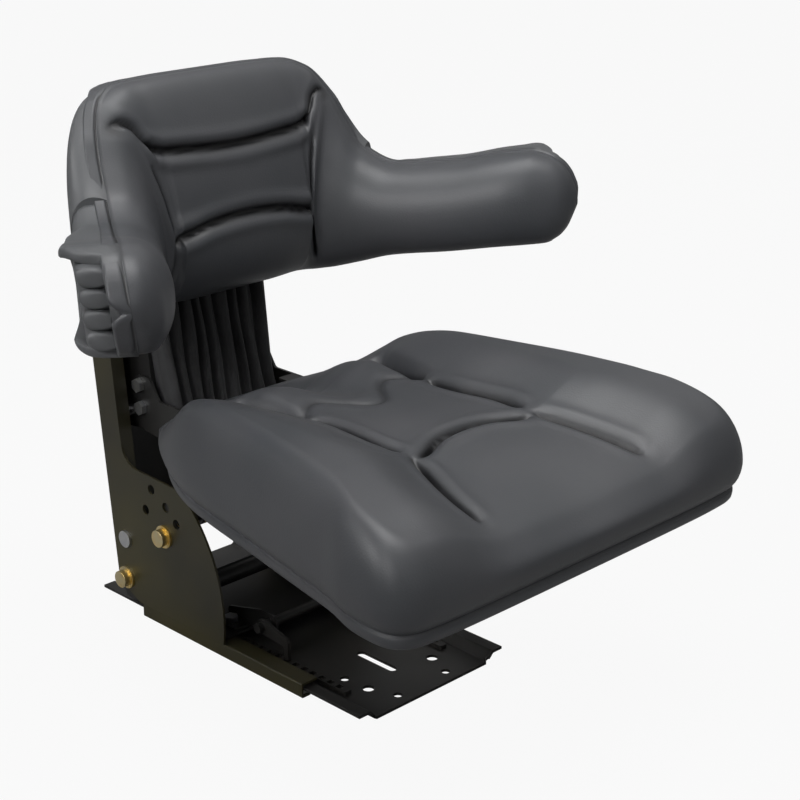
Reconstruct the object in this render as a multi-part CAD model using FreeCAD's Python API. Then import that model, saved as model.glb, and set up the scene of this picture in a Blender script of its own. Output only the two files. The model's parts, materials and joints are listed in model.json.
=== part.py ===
import FreeCAD, Part
import math
import os

from FreeCAD import Vector

# Tractor suspension seat, in millimetres.
# The seat faces -Y, +X is the operator's left and +Z is up.
# The origin is on the underside of the base plate, at the middle of its length.

# Base plate: a pressed tray whose outer flanges are the lower slide tracks
tray_length = 394.0
tray_floor_half = 76.5
tray_wall = 3.0
flange_half = 98.2
flange_top_z = 12.0
flange_width = 12.5
corner_relief = 5.0

# Mounting holes, each a pair about the centreline, repeated at the rear end
hole_pairs = [
    ("outer", 182.0, 66.0, 9.0),
    ("middle", 153.0, 88.0, 12.0),
    ("inner", 123.0, 94.0, 9.5),
]
slot_middle_y = 119.5
slot_length = 53.0
slot_width = 9.5

# Upper slide rails
rail_length = 245.5
rail_middle_y = 2.25
rail_wall = 2.2
rail_width = 20.0
rail_bottom_z = 1.2
rail_lip = 11.0
slide_gap = 0.3
side_gap = 0.4
glide_thickness = 2.0
glide_length = 44.0
stud_inset = 13.0
stud_pitch = 80.0

# Tilt: side plates swing about the pivot bolts and are held by the lock bolts
pivot_y = 146.0
pivot_z = 40.5
lean_deg = 6.0
inner_row_radius = 95.0
outer_row_radius = 122.0
lock_angle = 45.0
inner_row_angles = [66.8]
outer_row_angles = [44.8, 54.6, 66.8]
spare_hole_d = 10.5
sector_radius = 156.0
ear_top_z = 168.0
ear_front_drop = 6.0
skirt_gap = 1.0

# Column: two channel-shaped uprights
plate_wall = 2.5
plate_gap = 0.2
column_depth = 31.0
pivot_to_rear = 14.5
column_top = 430.0
front_flange = 12.5
rear_flange = 15.0
front_flange_foot = 141.0
rear_flange_foot = 70.0

# Bolts
bolt_d = 12.0
bolt_head_flats = 18.0
bolt_head_height = 7.5
nut_height = 10.0
washer_d = 24.0
washer_thickness = 2.5
hole_clearance = 0.25
small_bolt_d = 8.0
small_head_flats = 13.0
small_head_height = 5.5
screw_d = 6.0
screw_head_d = 12.0
screw_head_height = 4.0

# Slide lock
lever_y = -25.0
lever_z = 31.0
lever_bar_d = 10.0
lever_bracket_x = 54.0
lever_bolt_x = 68.0
lever_bolt_y = 22.0
tooth_x = 66.0
tooth_reach = 36.0
tooth_thickness = 4.0
rack_height = 4.0
rack_width = 9.0
rack_pitch = 12.5
rack_slot = 6.5
rack_slots = 13
rack_clearance = 0.4
running_clearance = 0.05
grip_d = 22.0
grip_length = 85.0

# Suspension: a carriage on four rollers, two springs and a damper
carriage_side_gap = 25.5
carriage_wall = 2.5
carriage_front = 104.0
carriage_rear = 156.0
carriage_bottom = 198.0
carriage_top = 352.0
carriage_step_z = 338.0
carriage_step_y = 121.0
roller_width = 10.0
roller_gap = 0.3
roller_low = 215.0
roller_high = 335.0
axle_d = 10.0
spring_x = 42.0
spring_line = 140.0
spring_coil_d = 28.0
spring_wire = 4.5
spring_turns = 8
bridge_z = 202.0
bridge_wall = 4.0
yoke_z = 388.0
yoke_wall = 7.0
yoke_boss = 12.0
plug_height = 14.0
plug_flange = 6.0
top_plate_z = 424.0
top_plate_skirt = 8.0
spindle_d = 12.0
knob_d = 56.0
knob_height = 24.0
damper_d = 30.0
damper_bore = 26.0
damper_rod_d = 10.0
damper_pin_z = 84.0
damper_pin_d = 12.0
damper_top = 240.0
damper_bracket_z = 328.0
shelf_wall = 5.0
tie_tube_d = 20.0
tie_tube_bore = 15.0

# Seat cushion and its pan
cushion_bottom_z = 190.0
cushion_half = 227.0
bolster_start = 0.31
bolster_width = 0.36
valley_depth = 14.0
valley_half = 26.0
cushion_front_y = -384.0
cushion_rear_y = 62.0
pan_top_z = 238.0
pan_wall = 2.0
pan_inset = 14.0
pan_rim_height = 3.0
rear_cut_half = 115.0
rear_cut_y = 30.0
arm_wall = 3.0
arm_front_y = -190.0
arm_flange = 22.0
pan_bolt_x = 67.0
pan_bolt_places = [-160.0, -40.0]
boot_side_gap = 4.5
boot_lean_deg = 10.4
boot_front_y = 102.0
boot_front_z = 235.0
boot_bottom = 212.0
boot_top = 338.0
boot_pleats = 9
boot_pleat_depth = 5.0

# Backrest: a wrap-round band, followed along the seam between pad and shell
seam_y = 120.0
seam_straight_half = 81.0
seam_bend_radius = 70.0
arm_splay_deg = 33.0
arm_lean_deg = 6.5
arm_lean_z = 425.0
shell_depth = 30.0
arm_shell_depth = 39.0
arm_tip_depth = 54.0
arm_shell_start = 185.0
arm_shell_end = 393.0
shell_gap = 0.4
seam_gap = 0.6
back_roundness = 0.35
arm_roundness = 0.17
grip_start = 222.0
grip_web = 17.0
grip_flange = 9.0
grip_rib_depth = 41.0
grip_rib_d = 19.0
grip_rib_pitch = 18.0
grip_rib_count = 4
grip_rib_length = 92.0
bracket_wall = 4.0
bracket_bottom_z = 300.0
bracket_top_z = 490.0

# Sizes worked out from the ones above
tray_end = tray_length / 2
flange_bottom_z = flange_top_z - tray_wall
flange_root = flange_half - flange_width
rail_top_inside_z = flange_top_z + slide_gap + glide_thickness
rail_top_z = rail_top_inside_z + rail_wall
rail_inside = flange_half + side_gap
rail_outside = rail_inside + rail_wall
rail_front_y = rail_middle_y - rail_length / 2
rail_rear_y = rail_middle_y + rail_length / 2
plate_inside = rail_outside + plate_gap
plate_outside = plate_inside + plate_wall
carriage_half = plate_inside - carriage_side_gap
boot_half = carriage_half - boot_side_gap
carrier_top_z = rail_top_z + plate_wall
column_rear = pivot_y + pivot_to_rear
column_front = column_rear - column_depth
roller_line = (column_front + column_rear) / 2
roller_d = column_depth - 2 * plate_wall - 2 * roller_gap
roller_x = plate_inside - 1.0 - roller_width / 2
lean_tan = math.tan(math.radians(lean_deg))
lean_cos = math.cos(math.radians(lean_deg))


def box(x_low, x_high, y_low, y_high, z_low, z_high):
    corner = Vector(x_low, y_low, z_low)
    return Part.makeBox(x_high - x_low, y_high - y_low, z_high - z_low, corner)


def rod(radius, start, end):
    start, end = Vector(*start), Vector(*end)
    return Part.makeCylinder(radius, (end - start).Length, start, end - start)


def tube(outer_radius, bore_radius, start, end):
    return rod(outer_radius, start, end).cut(rod(bore_radius, start, end))


def hexagon(flats, height, foot, axis):
    """Hexagonal head or nut standing on foot along axis."""
    corner = flats / math.sqrt(3)
    points = []
    for index in range(7):
        angle = math.radians(60 * index)
        points.append(Vector(corner * math.cos(angle), corner * math.sin(angle), 0))
    prism = Part.Face(Part.makePolygon(points)).extrude(Vector(0, 0, height))
    turn = FreeCAD.Rotation(Vector(0, 0, 1), Vector(*axis))
    prism.Placement = FreeCAD.Placement(Vector(*foot), turn)
    return prism


def rounded_face(corners, place):
    """Flat face with rounded corners (u, v, radius); place makes (u, v) a point."""
    count = len(corners)
    ends = []
    edges = []
    for index in range(count):
        u, v, radius = corners[index]
        here = Vector(u, v, 0)
        back = (Vector(*corners[index - 1][:2], 0) - here).normalize()
        ahead = (Vector(*corners[(index + 1) % count][:2], 0) - here).normalize()
        half = back.getAngle(ahead) / 2
        reach = radius / math.tan(half)
        inward = (back + ahead).normalize()
        middle = here + inward * (radius / math.sin(half) - radius)
        ends.append((here + back * reach, middle, here + ahead * reach, radius))
    for index in range(count):
        start, middle, finish, radius = ends[index]
        following = ends[(index + 1) % count][0]
        if radius > 0:
            arc = Part.Arc(place(start.x, start.y), place(middle.x, middle.y), place(finish.x, finish.y))
            edges.append(arc.toShape())
        if (following - finish).Length > 1e-6:
            line = Part.LineSegment(place(finish.x, finish.y), place(following.x, following.y))
            edges.append(line.toShape())
    return Part.Face(Part.Wire(edges))


def sheet_across(corners, x_low, x_high):
    """Sheet standing fore and aft, outline in (y, z)."""
    face = rounded_face(corners, lambda u, v: Vector(x_low, u, v))
    return face.extrude(Vector(x_high - x_low, 0, 0))


def sheet_level(corners, z_low, z_high):
    """Level sheet, outline in (x, y)."""
    face = rounded_face(corners, lambda u, v: Vector(u, v, z_low))
    return face.extrude(Vector(0, 0, z_high - z_low))


def sheet_facing(corners, y_low, y_high):
    """Sheet facing forward, outline in (x, z)."""
    face = rounded_face(corners, lambda u, v: Vector(u, y_low, v))
    return face.extrude(Vector(0, y_high - y_low, 0))


def rectangle(u_low, u_high, v_low, v_high, radius=0.0):
    return [(u_low, v_low, radius), (u_high, v_low, radius), (u_high, v_high, radius), (u_low, v_high, radius)]


def mirrored(shape):
    return shape.mirror(Vector(0, 0, 0), Vector(1, 0, 0))


def on_side(side, shape):
    """The left part is the one modelled; the right one is its mirror image."""
    return shape if side == "left" else mirrored(shape)


def leaned(shape):
    """Turns a piece modelled upright about the pivot bolts to the column's lean."""
    turned = shape.copy()
    turned.rotate(Vector(0, pivot_y, pivot_z), Vector(1, 0, 0), -lean_deg)
    return turned


def leaned_point(y, z):
    turned = Part.Vertex(0, y, z)
    turned.rotate(Vector(0, pivot_y, pivot_z), Vector(1, 0, 0), -lean_deg)
    return turned.Point.y, turned.Point.z


def tilt_point(radius, angle):
    """Point (y, z) of the tilt adjustment, angle measured up from straight ahead of the pivot."""
    turn = math.radians(angle)
    return pivot_y - radius * math.cos(turn), pivot_z + radius * math.sin(turn)


def join(shapes):
    whole = shapes[0]
    for shape in shapes[1:]:
        whole = whole.fuse(shape)
    return whole.removeSplitter()


# Base and slides

def base_plate():
    """Tray with sloping walls and outward flanges, pressed from one sheet."""
    slope = flange_root - tray_floor_half
    bend = tray_wall * math.tan(math.atan2(flange_bottom_z, slope) / 2)
    half = [
        (tray_floor_half, 0.0, 2.0),
        (flange_root, flange_bottom_z, 1.5),
        (flange_half, flange_bottom_z, 0.5),
        (flange_half, flange_top_z, 0.5),
        (flange_root - bend, flange_top_z, 2.0),
        (tray_floor_half - bend, tray_wall, 1.5),
    ]
    corners = half + [(-x, z, radius) for x, z, radius in reversed(half)]
    plate = sheet_facing(corners, -tray_end, tray_end)
    for end in (-1, 1):
        for name, y, spacing, diameter in hole_pairs:
            for side in (-1, 1):
                x = side * spacing / 2
                plate = plate.cut(rod(diameter / 2, (x, end * y, -1), (x, end * y, tray_wall + 1)))
        run = slot_length / 2
        slot = rectangle(-slot_width / 2, slot_width / 2, end * slot_middle_y - run, end * slot_middle_y + run,
                         slot_width / 2 - 0.01)
        plate = plate.cut(sheet_level(slot, -1, tray_wall + 1))
        for side in (-1, 1):
            x = side * (tray_floor_half + 1.5)
            notch = rod(corner_relief / 2, (x, end * tray_end, -1), (x, end * tray_end, flange_top_z))
            plate = plate.cut(notch)
    return plate


def rack_y(index):
    first = lever_y - tooth_reach - rack_pitch * (rack_slots - 1) / 2
    return first + rack_pitch * index


def lock_racks():
    """Two slotted strips on the tray floor for the lock teeth."""
    strips = []
    for side in (-1, 1):
        low = side * tooth_x - rack_width / 2
        high = side * tooth_x + rack_width / 2
        ends = rectangle(low, high, rack_y(0) - rack_pitch, rack_y(rack_slots - 1) + rack_pitch, 2.0)
        strip = sheet_level(ends, tray_wall, tray_wall + rack_height)
        for index in range(rack_slots):
            middle = rack_y(index)
            strip = strip.cut(box(low + 1.5, high - 1.5, middle - rack_slot / 2, middle + rack_slot / 2,
                                  tray_wall + 1.0, tray_wall + rack_height + 1))
        strips.append(strip)
    return Part.makeCompound(strips)


def stud_places():
    x = rail_outside - rail_width / 2
    rear = rail_rear_y - stud_inset
    return [(x, rear - stud_pitch), (x, rear)]


def slide_rail(side):
    """C-shaped upper rail round the tray flange, with the studs that hold the carrier."""
    inner = rail_outside - rail_width
    lip_inner = rail_outside - rail_lip
    profile = [
        (inner, rail_top_z, 0.5),
        (inner, rail_top_inside_z, 0.5),
        (rail_inside, rail_top_inside_z, 0.0),
        (rail_inside, rail_bottom_z + rail_wall, 0.0),
        (lip_inner, rail_bottom_z + rail_wall, 0.5),
        (lip_inner, rail_bottom_z, 0.5),
        (rail_outside, rail_bottom_z, 1.8),
        (rail_outside, rail_top_z, 1.8),
    ]
    rail = sheet_facing(profile, rail_front_y, rail_rear_y)
    for x, y in stud_places():
        stud = rod(small_bolt_d / 2, (x, y, rail_top_inside_z), (x, y, carrier_top_z + small_head_height + 3))
        rail = rail.fuse(stud)
    return on_side(side, rail)


def glide_pads(side):
    """Plastic pads above and below the tray flange at both ends of a rail."""
    pads = []
    lip_inner = rail_outside - rail_lip
    for y in (rail_front_y + 3, rail_rear_y - glide_length - 3):
        pads.append(box(flange_root + 2, rail_inside, y, y + glide_length,
                        flange_top_z + slide_gap, rail_top_inside_z))
        pads.append(box(lip_inner, rail_inside, y, y + glide_length,
                        rail_bottom_z + rail_wall, flange_bottom_z - slide_gap))
    return on_side(side, Part.makeCompound(pads))


def tilt_carrier():
    """U-shaped pressing across the rails whose ears carry the tilt bolts."""
    front, rear = 0.0, 152.0
    floor = sheet_level(rectangle(-plate_inside, plate_inside, front, rear), rail_top_z, carrier_top_z)
    lock_y, lock_z = tilt_point(outer_row_radius, lock_angle)
    ear = [
        (front, rail_top_z, 0.0),
        (rear, rail_top_z, 0.0),
        (rear + 6, pivot_z - 6, 8.0),
        (rear + 2, pivot_z + 18, 12.0),
        (pivot_y - 28, pivot_z + 32, 14.0),
        (lock_y + 34, lock_z + 16, 14.0),
        (lock_y - 12, lock_z + 16, 12.0),
        (front + 6, rail_top_z + 34, 14.0),
    ]
    ears = [sheet_across(ear, plate_inside - plate_wall, plate_inside)]
    ears.append(mirrored(ears[0]))
    carrier = join([floor] + ears)
    for y, z in (tilt_point(0, 0), tilt_point(inner_row_radius, lock_angle)):
        radius = bolt_d / 2 + hole_clearance
        carrier = carrier.cut(rod(radius, (-plate_outside, y, z), (plate_outside, y, z)))
    carrier = carrier.cut(rod(spare_hole_d / 2, (-plate_outside, lock_y, lock_z), (plate_outside, lock_y, lock_z)))
    for side in (-1, 1):
        for x, y in stud_places():
            carrier = carrier.cut(rod(small_bolt_d / 2 + hole_clearance, (side * x, y, rail_top_z - 1),
                                      (side * x, y, carrier_top_z + 1)))
        carrier = carrier.cut(lever_bolt_hole(side))
    return carrier


def carrier_nuts():
    nuts = []
    for side in (-1, 1):
        for x, y in stud_places():
            nut = hexagon(small_head_flats, small_head_height + 1, (side * x, y, carrier_top_z), (0, 0, 1))
            bore = rod(small_bolt_d / 2, (side * x, y, carrier_top_z - 1), (side * x, y, carrier_top_z + 12))
            nuts.append(nut.cut(bore))
    return Part.makeCompound(nuts)


def tie_tube():
    """Round tube that keeps the two ears of the carrier apart."""
    half = plate_inside - plate_wall
    y = pivot_y - 88
    return tube(tie_tube_d / 2, tie_tube_bore / 2, (-half, y, 52), (half, y, 52))


# Slide lock

def lever_brackets():
    """Angle brackets on the carrier that carry the lock shaft."""
    brackets = []
    foot_z = carrier_top_z + plate_wall
    for side in (-1, 1):
        foot = sheet_level(rectangle(lever_bracket_x, lever_bolt_x + 10, 4, 40, 3.0), carrier_top_z, foot_z)
        tab = [
            (lever_y - 10, lever_z - 10, 8.0),
            (4, carrier_top_z, 3.0),
            (40, carrier_top_z, 0.0),
            (40, carrier_top_z + 9, 5.0),
            (lever_y + 14, lever_z + 10, 8.0),
            (lever_y - 10, lever_z + 10, 9.0),
        ]
        web = sheet_across(tab, lever_bracket_x, lever_bracket_x + plate_wall)
        bracket = join([foot, web])
        radius = lever_bar_d / 2 + running_clearance
        bracket = bracket.cut(rod(radius, (40, lever_y, lever_z), (80, lever_y, lever_z)))
        bracket = bracket.cut(lever_bolt_hole(1))
        brackets.append(bracket if side > 0 else mirrored(bracket))
    return Part.makeCompound(brackets)


def lever_bolt_hole(side):
    x = side * lever_bolt_x
    return rod(small_bolt_d / 2 + hole_clearance, (x, lever_bolt_y, rail_top_z - 1),
               (x, lever_bolt_y, carrier_top_z + 9))


def lever_bracket_bolts():
    bolts = []
    foot_z = carrier_top_z + plate_wall
    for side in (-1, 1):
        x = side * lever_bolt_x
        head = hexagon(small_head_flats, small_head_height, (x, lever_bolt_y, foot_z), (0, 0, 1))
        shank = rod(small_bolt_d / 2, (x, lever_bolt_y, rail_top_z - 6), (x, lever_bolt_y, foot_z))
        bolts.append(join([head, shank]))
    return Part.makeCompound(bolts)


def grip_line():
    """Start and end of the lever's grip."""
    return Vector(131, -112, 47), Vector(140, -196, 70)


def slide_lever():
    """Bent bar with a cross shaft and two lock teeth."""
    start, end = grip_line()
    corner = Vector(120, lever_y - 8, lever_z)
    radius = lever_bar_d / 2
    shaft = rod(radius, (-tooth_x - 8, lever_y, lever_z), (112, lever_y, lever_z))
    bend = rod(radius, (112, lever_y, lever_z), tuple(corner))
    arm = rod(radius, tuple(corner), tuple(start))
    handle = rod(radius, tuple(start), tuple(start + (end - start) * 0.8))
    knuckles = []
    for point in (Vector(112, lever_y, lever_z), corner, start):
        knuckles.append(Part.makeSphere(radius, point))
    tip_z = tray_wall + rack_height + rack_clearance
    tooth = [
        (lever_y + 7, lever_z + 7, 6.0),
        (lever_y - 4, lever_z + 8, 5.0),
        (lever_y - tooth_reach - 3, lever_z - 2, 5.0),
        (lever_y - tooth_reach - 3, tip_z, 0.8),
        (lever_y - tooth_reach + 3, tip_z, 0.8),
        (lever_y - tooth_reach + 4, lever_z - 10, 4.0),
        (lever_y + 7, lever_z - 7, 6.0),
    ]
    teeth = []
    for side in (-1, 1):
        middle = side * tooth_x
        teeth.append(sheet_across(tooth, middle - tooth_thickness / 2, middle + tooth_thickness / 2))
    return join([shaft, bend, arm, handle] + knuckles + teeth)


def lever_grip():
    """Soft plastic grip pushed over the end of the lever."""
    start, end = grip_line()
    along = (end - start).normalize()
    first = start + along * 2
    last = first + along * grip_length
    grip = rod(grip_d / 2, tuple(first), tuple(last))
    grip = grip.makeFillet(4.0, grip.Edges)
    bore = rod(lever_bar_d / 2, tuple(start), tuple(start + (end - start) * 0.8))
    return grip.cut(bore)


# Column

def side_plate(side):
    """Tilt sector and upright in one pressing, with the roller channel behind it."""
    front_y = pivot_y + (column_front - pivot_y) / lean_cos + (ear_top_z - pivot_z) * lean_tan
    top_front = leaned_point(column_front, column_top)
    top_rear = leaned_point(column_rear, column_top)
    low_rear = leaned_point(column_rear, pivot_z - 6)
    skirt_z = rail_top_z + skirt_gap
    outline = [
        (pivot_y - sector_radius - 5, skirt_z, 0.0),
        (pivot_y - 20, skirt_z, 8.0),
        (low_rear[0], low_rear[1], 11.0),
        (top_rear[0], top_rear[1], 8.0),
        (top_front[0], top_front[1], 8.0),
        (front_y, ear_top_z, 24.0),
        (pivot_y - sector_radius - 5, ear_top_z - ear_front_drop, 0.0),
    ]
    web = sheet_across(outline, plate_inside, plate_outside)
    waste = box(plate_inside - 1, plate_outside + 1, pivot_y - sector_radius - 40, pivot_y - 40, 0, ear_top_z + 5)
    sector = rod(sector_radius, (plate_inside - 2, pivot_y, pivot_z), (plate_outside + 2, pivot_y, pivot_z))
    web = web.cut(waste.cut(sector))
    front = box(plate_inside - front_flange, plate_inside, column_front, column_front + plate_wall,
                front_flange_foot, column_top - 6)
    rear = box(plate_inside - rear_flange, plate_inside, column_rear - plate_wall, column_rear,
               rear_flange_foot, column_top - 6)
    plate = join([web, leaned(front), leaned(rear)])
    bolt_holes = [tilt_point(0, 0), tilt_point(inner_row_radius, lock_angle)]
    for y, z in bolt_holes:
        plate = plate.cut(rod(bolt_d / 2 + hole_clearance, (plate_inside - 2, y, z), (plate_outside + 2, y, z)))
    spare = [tilt_point(inner_row_radius, angle) for angle in inner_row_angles]
    spare += [tilt_point(outer_row_radius, angle) for angle in outer_row_angles]
    for y, z in spare:
        plate = plate.cut(rod(spare_hole_d / 2, (plate_inside - 2, y, z), (plate_outside + 2, y, z)))
    for x, z in cover_screw_places():
        hole = rod(screw_d / 2 + 0.2, (x, column_rear - 10, z), (x, column_rear + 10, z))
        plate = plate.cut(leaned(hole))
    y, z = damper_pin_place()
    pin_hole = rod(damper_pin_d / 2 + hole_clearance, (plate_inside - 1, y, z), (plate_outside + 1, y, z))
    plate = plate.cut(leaned(pin_hole))
    return on_side(side, plate)


def tilt_bolt_places():
    return [tilt_point(0, 0), tilt_point(inner_row_radius, lock_angle)]


def tilt_bolts():
    """Four identical bolts: two pivots and two tilt locks."""
    bolts = []
    inner = plate_inside - plate_wall - nut_height - 3
    face = plate_outside + washer_thickness
    for y, z in tilt_bolt_places():
        shank = rod(bolt_d / 2, (inner, y, z), (face, y, z))
        head = hexagon(bolt_head_flats, bolt_head_height, (face, y, z), (1, 0, 0))
        crown = rod(bolt_head_flats / 2, (face, y, z), (face + bolt_head_height + 1, y, z))
        crown = crown.makeChamfer(1.2, [crown.Edges[0]])
        bolt = join([shank, head.common(crown)])
        bolts += [bolt, mirrored(bolt)]
    return Part.makeCompound(bolts)


def tilt_washers():
    washers = []
    for y, z in tilt_bolt_places():
        washer = tube(washer_d / 2, bolt_d / 2 + hole_clearance, (plate_outside, y, z),
                      (plate_outside + washer_thickness, y, z))
        washers += [washer, mirrored(washer)]
    return Part.makeCompound(washers)


def tilt_nuts():
    nuts = []
    outer = plate_inside - plate_wall
    for y, z in tilt_bolt_places():
        nut = hexagon(bolt_head_flats, nut_height, (outer, y, z), (-1, 0, 0))
        nut = nut.cut(rod(bolt_d / 2, (outer - 20, y, z), (outer + 1, y, z)))
        nuts += [nut, mirrored(nut)]
    return Part.makeCompound(nuts)


def cover_screw_places():
    """Places (x, height) of the cover screws on the left upright."""
    x = plate_inside - rear_flange / 2
    low = rear_flange_foot + 18
    high = column_top - 40
    return [(x, low), (x, (low + high) / 2), (x, high)]


def rear_cover():
    """Pressed sheet that closes the back of the column."""
    half = plate_inside - 1
    bottom, top = rear_flange_foot + 4, column_top - 16
    cover = sheet_facing(rectangle(-half, half, bottom, top, 10.0), column_rear, column_rear + 2)
    for x, z in cover_screw_places():
        for side in (-1, 1):
            cover = cover.cut(rod(screw_d / 2 + 0.2, (side * x, column_rear - 1, z), (side * x, column_rear + 4, z)))
    ribs = []
    for x in (-44, 0, 44):
        rib = sheet_facing(rectangle(x - 7, x + 7, bottom + 40, top - 40, 6.9), column_rear + 2, column_rear + 5)
        ribs.append(rib)
    return leaned(join([cover] + ribs))


def cover_screws():
    screws = []
    for x, z in cover_screw_places():
        for side in (-1, 1):
            shank = rod(screw_d / 2, (side * x, column_rear - 6, z), (side * x, column_rear + 2, z))
            head = rod(screw_head_d / 2, (side * x, column_rear + 2, z),
                       (side * x, column_rear + 2 + screw_head_height, z))
            head = head.makeFillet(1.5, [head.Edges[0]])
            screws.append(leaned(join([shank, head])))
    return Part.makeCompound(screws)


def column_top_plate():
    """Cross member at the top, which carries the adjuster spindle."""
    front = column_front + plate_wall
    rear = column_rear - plate_wall
    half = plate_inside
    plate = box(-half, half, front, rear, top_plate_z, top_plate_z + 3)
    skirts = []
    for y in (front, rear - 2.5):
        skirts.append(box(-half, half, y, y + 2.5, top_plate_z - top_plate_skirt, top_plate_z))
    relief = rod(13.0, (0, spring_line, top_plate_z - top_plate_skirt - 1), (0, spring_line, top_plate_z))
    member = join([plate] + skirts).cut(relief)
    bore = rod(spindle_d / 2 + running_clearance, (0, spring_line, top_plate_z - 1),
               (0, spring_line, top_plate_z + 4))
    return leaned(member.cut(bore))


def damper_pin_place():
    return spring_line, damper_pin_z


def damper_pin():
    y, z = damper_pin_place()
    face = plate_outside
    pin = rod(damper_pin_d / 2, (-face - 3, y, z), (face + 3, y, z))
    heads = []
    for side in (-1, 1):
        heads.append(rod(damper_pin_d / 2 + 3, (side * face, y, z), (side * (face + 3), y, z)))
    return leaned(join([pin] + heads))


def damper_spacers():
    y, z = damper_pin_place()
    spacers = []
    for side in (-1, 1):
        ends = (side * 12.0, y, z), (side * plate_inside, y, z)
        spacers.append(leaned(tube(9.0, damper_pin_d / 2, ends[0], ends[1])))
    return Part.makeCompound(spacers)


def damper_body():
    """Closed cylinder with an eye at the foot and a rod guide at the top."""
    y, z = damper_pin_place()
    foot = z + 17
    cylinder = rod(damper_d / 2, (0, y, z + 9), (0, y, damper_top))
    cylinder = cylinder.makeFillet(2.5, [cylinder.Edges[0]])
    eye = rod(13.0, (-12, y, z), (12, y, z))
    shape = join([cylinder, eye])
    shape = shape.cut(rod(damper_bore / 2, (0, y, foot + 4), (0, y, damper_top - 12)))
    shape = shape.cut(rod(damper_rod_d / 2 + running_clearance, (0, y, damper_top - 14), (0, y, damper_top + 1)))
    shape = shape.cut(rod(damper_pin_d / 2, (-14, y, z), (14, y, z)))
    return leaned(shape)


# Carriage

def carriage_frame():
    """Pressed channel, open to the rear, that rides up and down inside the uprights."""
    half = carriage_half
    wall = carriage_wall
    shell = box(-half, half, carriage_front, carriage_rear, carriage_bottom, carriage_top)
    shell = shell.cut(box(-half + wall, half - wall, carriage_front + wall, carriage_rear + 1,
                          carriage_bottom - 1, carriage_top + 1))
    shell = shell.cut(box(-half - 1, half + 1, carriage_front - 1, carriage_step_y, carriage_step_z, carriage_top + 1))
    window = sheet_facing(rectangle(-28, 28, carriage_bottom + 40, damper_bracket_z - 14, 14.0),
                          carriage_front - 1, carriage_front + wall + 1)
    shell = shell.cut(window)
    for z in (roller_low, roller_high):
        shell = shell.cut(rod(axle_d / 2, (-half - 1, roller_line, z), (half + 1, roller_line, z)))
    bridge = box(-half + wall, half - wall, carriage_front + wall, carriage_rear, bridge_z, bridge_z + bridge_wall)
    bridge = bridge.cut(rod(damper_d / 2 + 3, (0, spring_line, bridge_z - 1), (0, spring_line, bridge_z + 9)))
    shelf_z = damper_bracket_z
    shelf_half = spring_x - spring_coil_d / 2 - spring_wire / 2 - 3
    shelf = box(-shelf_half, shelf_half, carriage_front + wall, spring_line + 12, shelf_z, shelf_z + shelf_wall)
    shelf = shelf.cut(rod(damper_rod_d / 2 - 1, (0, spring_line, shelf_z - 1), (0, spring_line, shelf_z + 9)))
    frame = leaned(join([shell, bridge, shelf]))
    for y, z in arm_bolt_places() + bracket_bolt_places():
        frame = frame.cut(rod(small_bolt_d / 2 + hole_clearance, (-half - 1, y, z), (half + 1, y, z)))
    return frame


def roller_axles():
    """Four stub axles pressed into the carriage sides, with a spacing collar."""
    axles = []
    for z in (roller_low, roller_high):
        start = carriage_half - carriage_wall - 4
        collar = roller_x - roller_width / 2 - 0.5
        end = roller_x + roller_width / 2 + 0.6
        pin = rod(axle_d / 2, (start, roller_line, z), (end, roller_line, z))
        step = rod(axle_d / 2 + 2.5, (carriage_half, roller_line, z), (collar, roller_line, z))
        inner_head = rod(axle_d / 2 + 2.5, (start - 2, roller_line, z),
                         (carriage_half - carriage_wall, roller_line, z))
        axle = leaned(join([pin, step, inner_head]))
        axles += [axle, mirrored(axle)]
    return Part.makeCompound(axles)


def guide_roller(side, z):
    roller = rod(roller_d / 2, (roller_x - roller_width / 2, roller_line, z),
                 (roller_x + roller_width / 2, roller_line, z))
    roller = roller.makeFillet(1.0, [edge for edge in roller.Edges if edge.Closed])
    roller = roller.cut(rod(axle_d / 2 + running_clearance, (roller_x - 20, roller_line, z),
                            (roller_x + 20, roller_line, z)))
    return on_side(side, leaned(roller))


def damper_rod():
    """Piston rod; its shouldered end is held by the carriage bracket."""
    piston_z = damper_top - 12 - 3
    y = spring_line
    radius = damper_rod_d / 2
    shaft = rod(radius, (0, y, piston_z - 10), (0, y, damper_bracket_z))
    piston = rod(damper_bore / 2 - running_clearance, (0, y, piston_z - 10), (0, y, piston_z))
    stud = rod(radius - 1, (0, y, damper_bracket_z), (0, y, damper_bracket_z + 16))
    nut = hexagon(small_head_flats, 6.5, (0, y, damper_bracket_z + shelf_wall), (0, 0, 1))
    return leaned(join([shaft, piston, stud, nut]))


def spring_ends():
    low = bridge_z + bridge_wall + plug_flange
    high = yoke_z - plug_flange
    return low, high


def spring(side):
    """Helical tension spring between the carriage bridge and the yoke."""
    low, high = spring_ends()
    radius = spring_coil_d / 2
    pitch = (high - low - spring_wire) / spring_turns
    path = Part.makeHelix(pitch, pitch * spring_turns, radius)
    profile = Part.Wire(Part.makeCircle(spring_wire / 2, Vector(radius, 0, 0), Vector(0, 1, 0)))
    coil = Part.Wire(path).makePipeShell([profile], True, True)
    coil.translate(Vector(spring_x, spring_line, low + spring_wire / 2))
    return on_side(side, leaned(coil))


def spring_plug(foot, height):
    """Turned plug that the spring's end coils grip."""
    inner = spring_coil_d / 2 - spring_wire / 2
    flange = rod(spring_coil_d / 2 + 2, (spring_x, spring_line, foot), (spring_x, spring_line, foot + height))
    return flange, inner


def lower_spring_plugs():
    foot = bridge_z + bridge_wall
    flange, inner = spring_plug(foot, plug_flange)
    core = rod(inner - 0.2, (spring_x, spring_line, foot), (spring_x, spring_line, foot + plug_height))
    plug = leaned(join([flange, core]))
    return Part.makeCompound([plug, mirrored(plug)])


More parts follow.
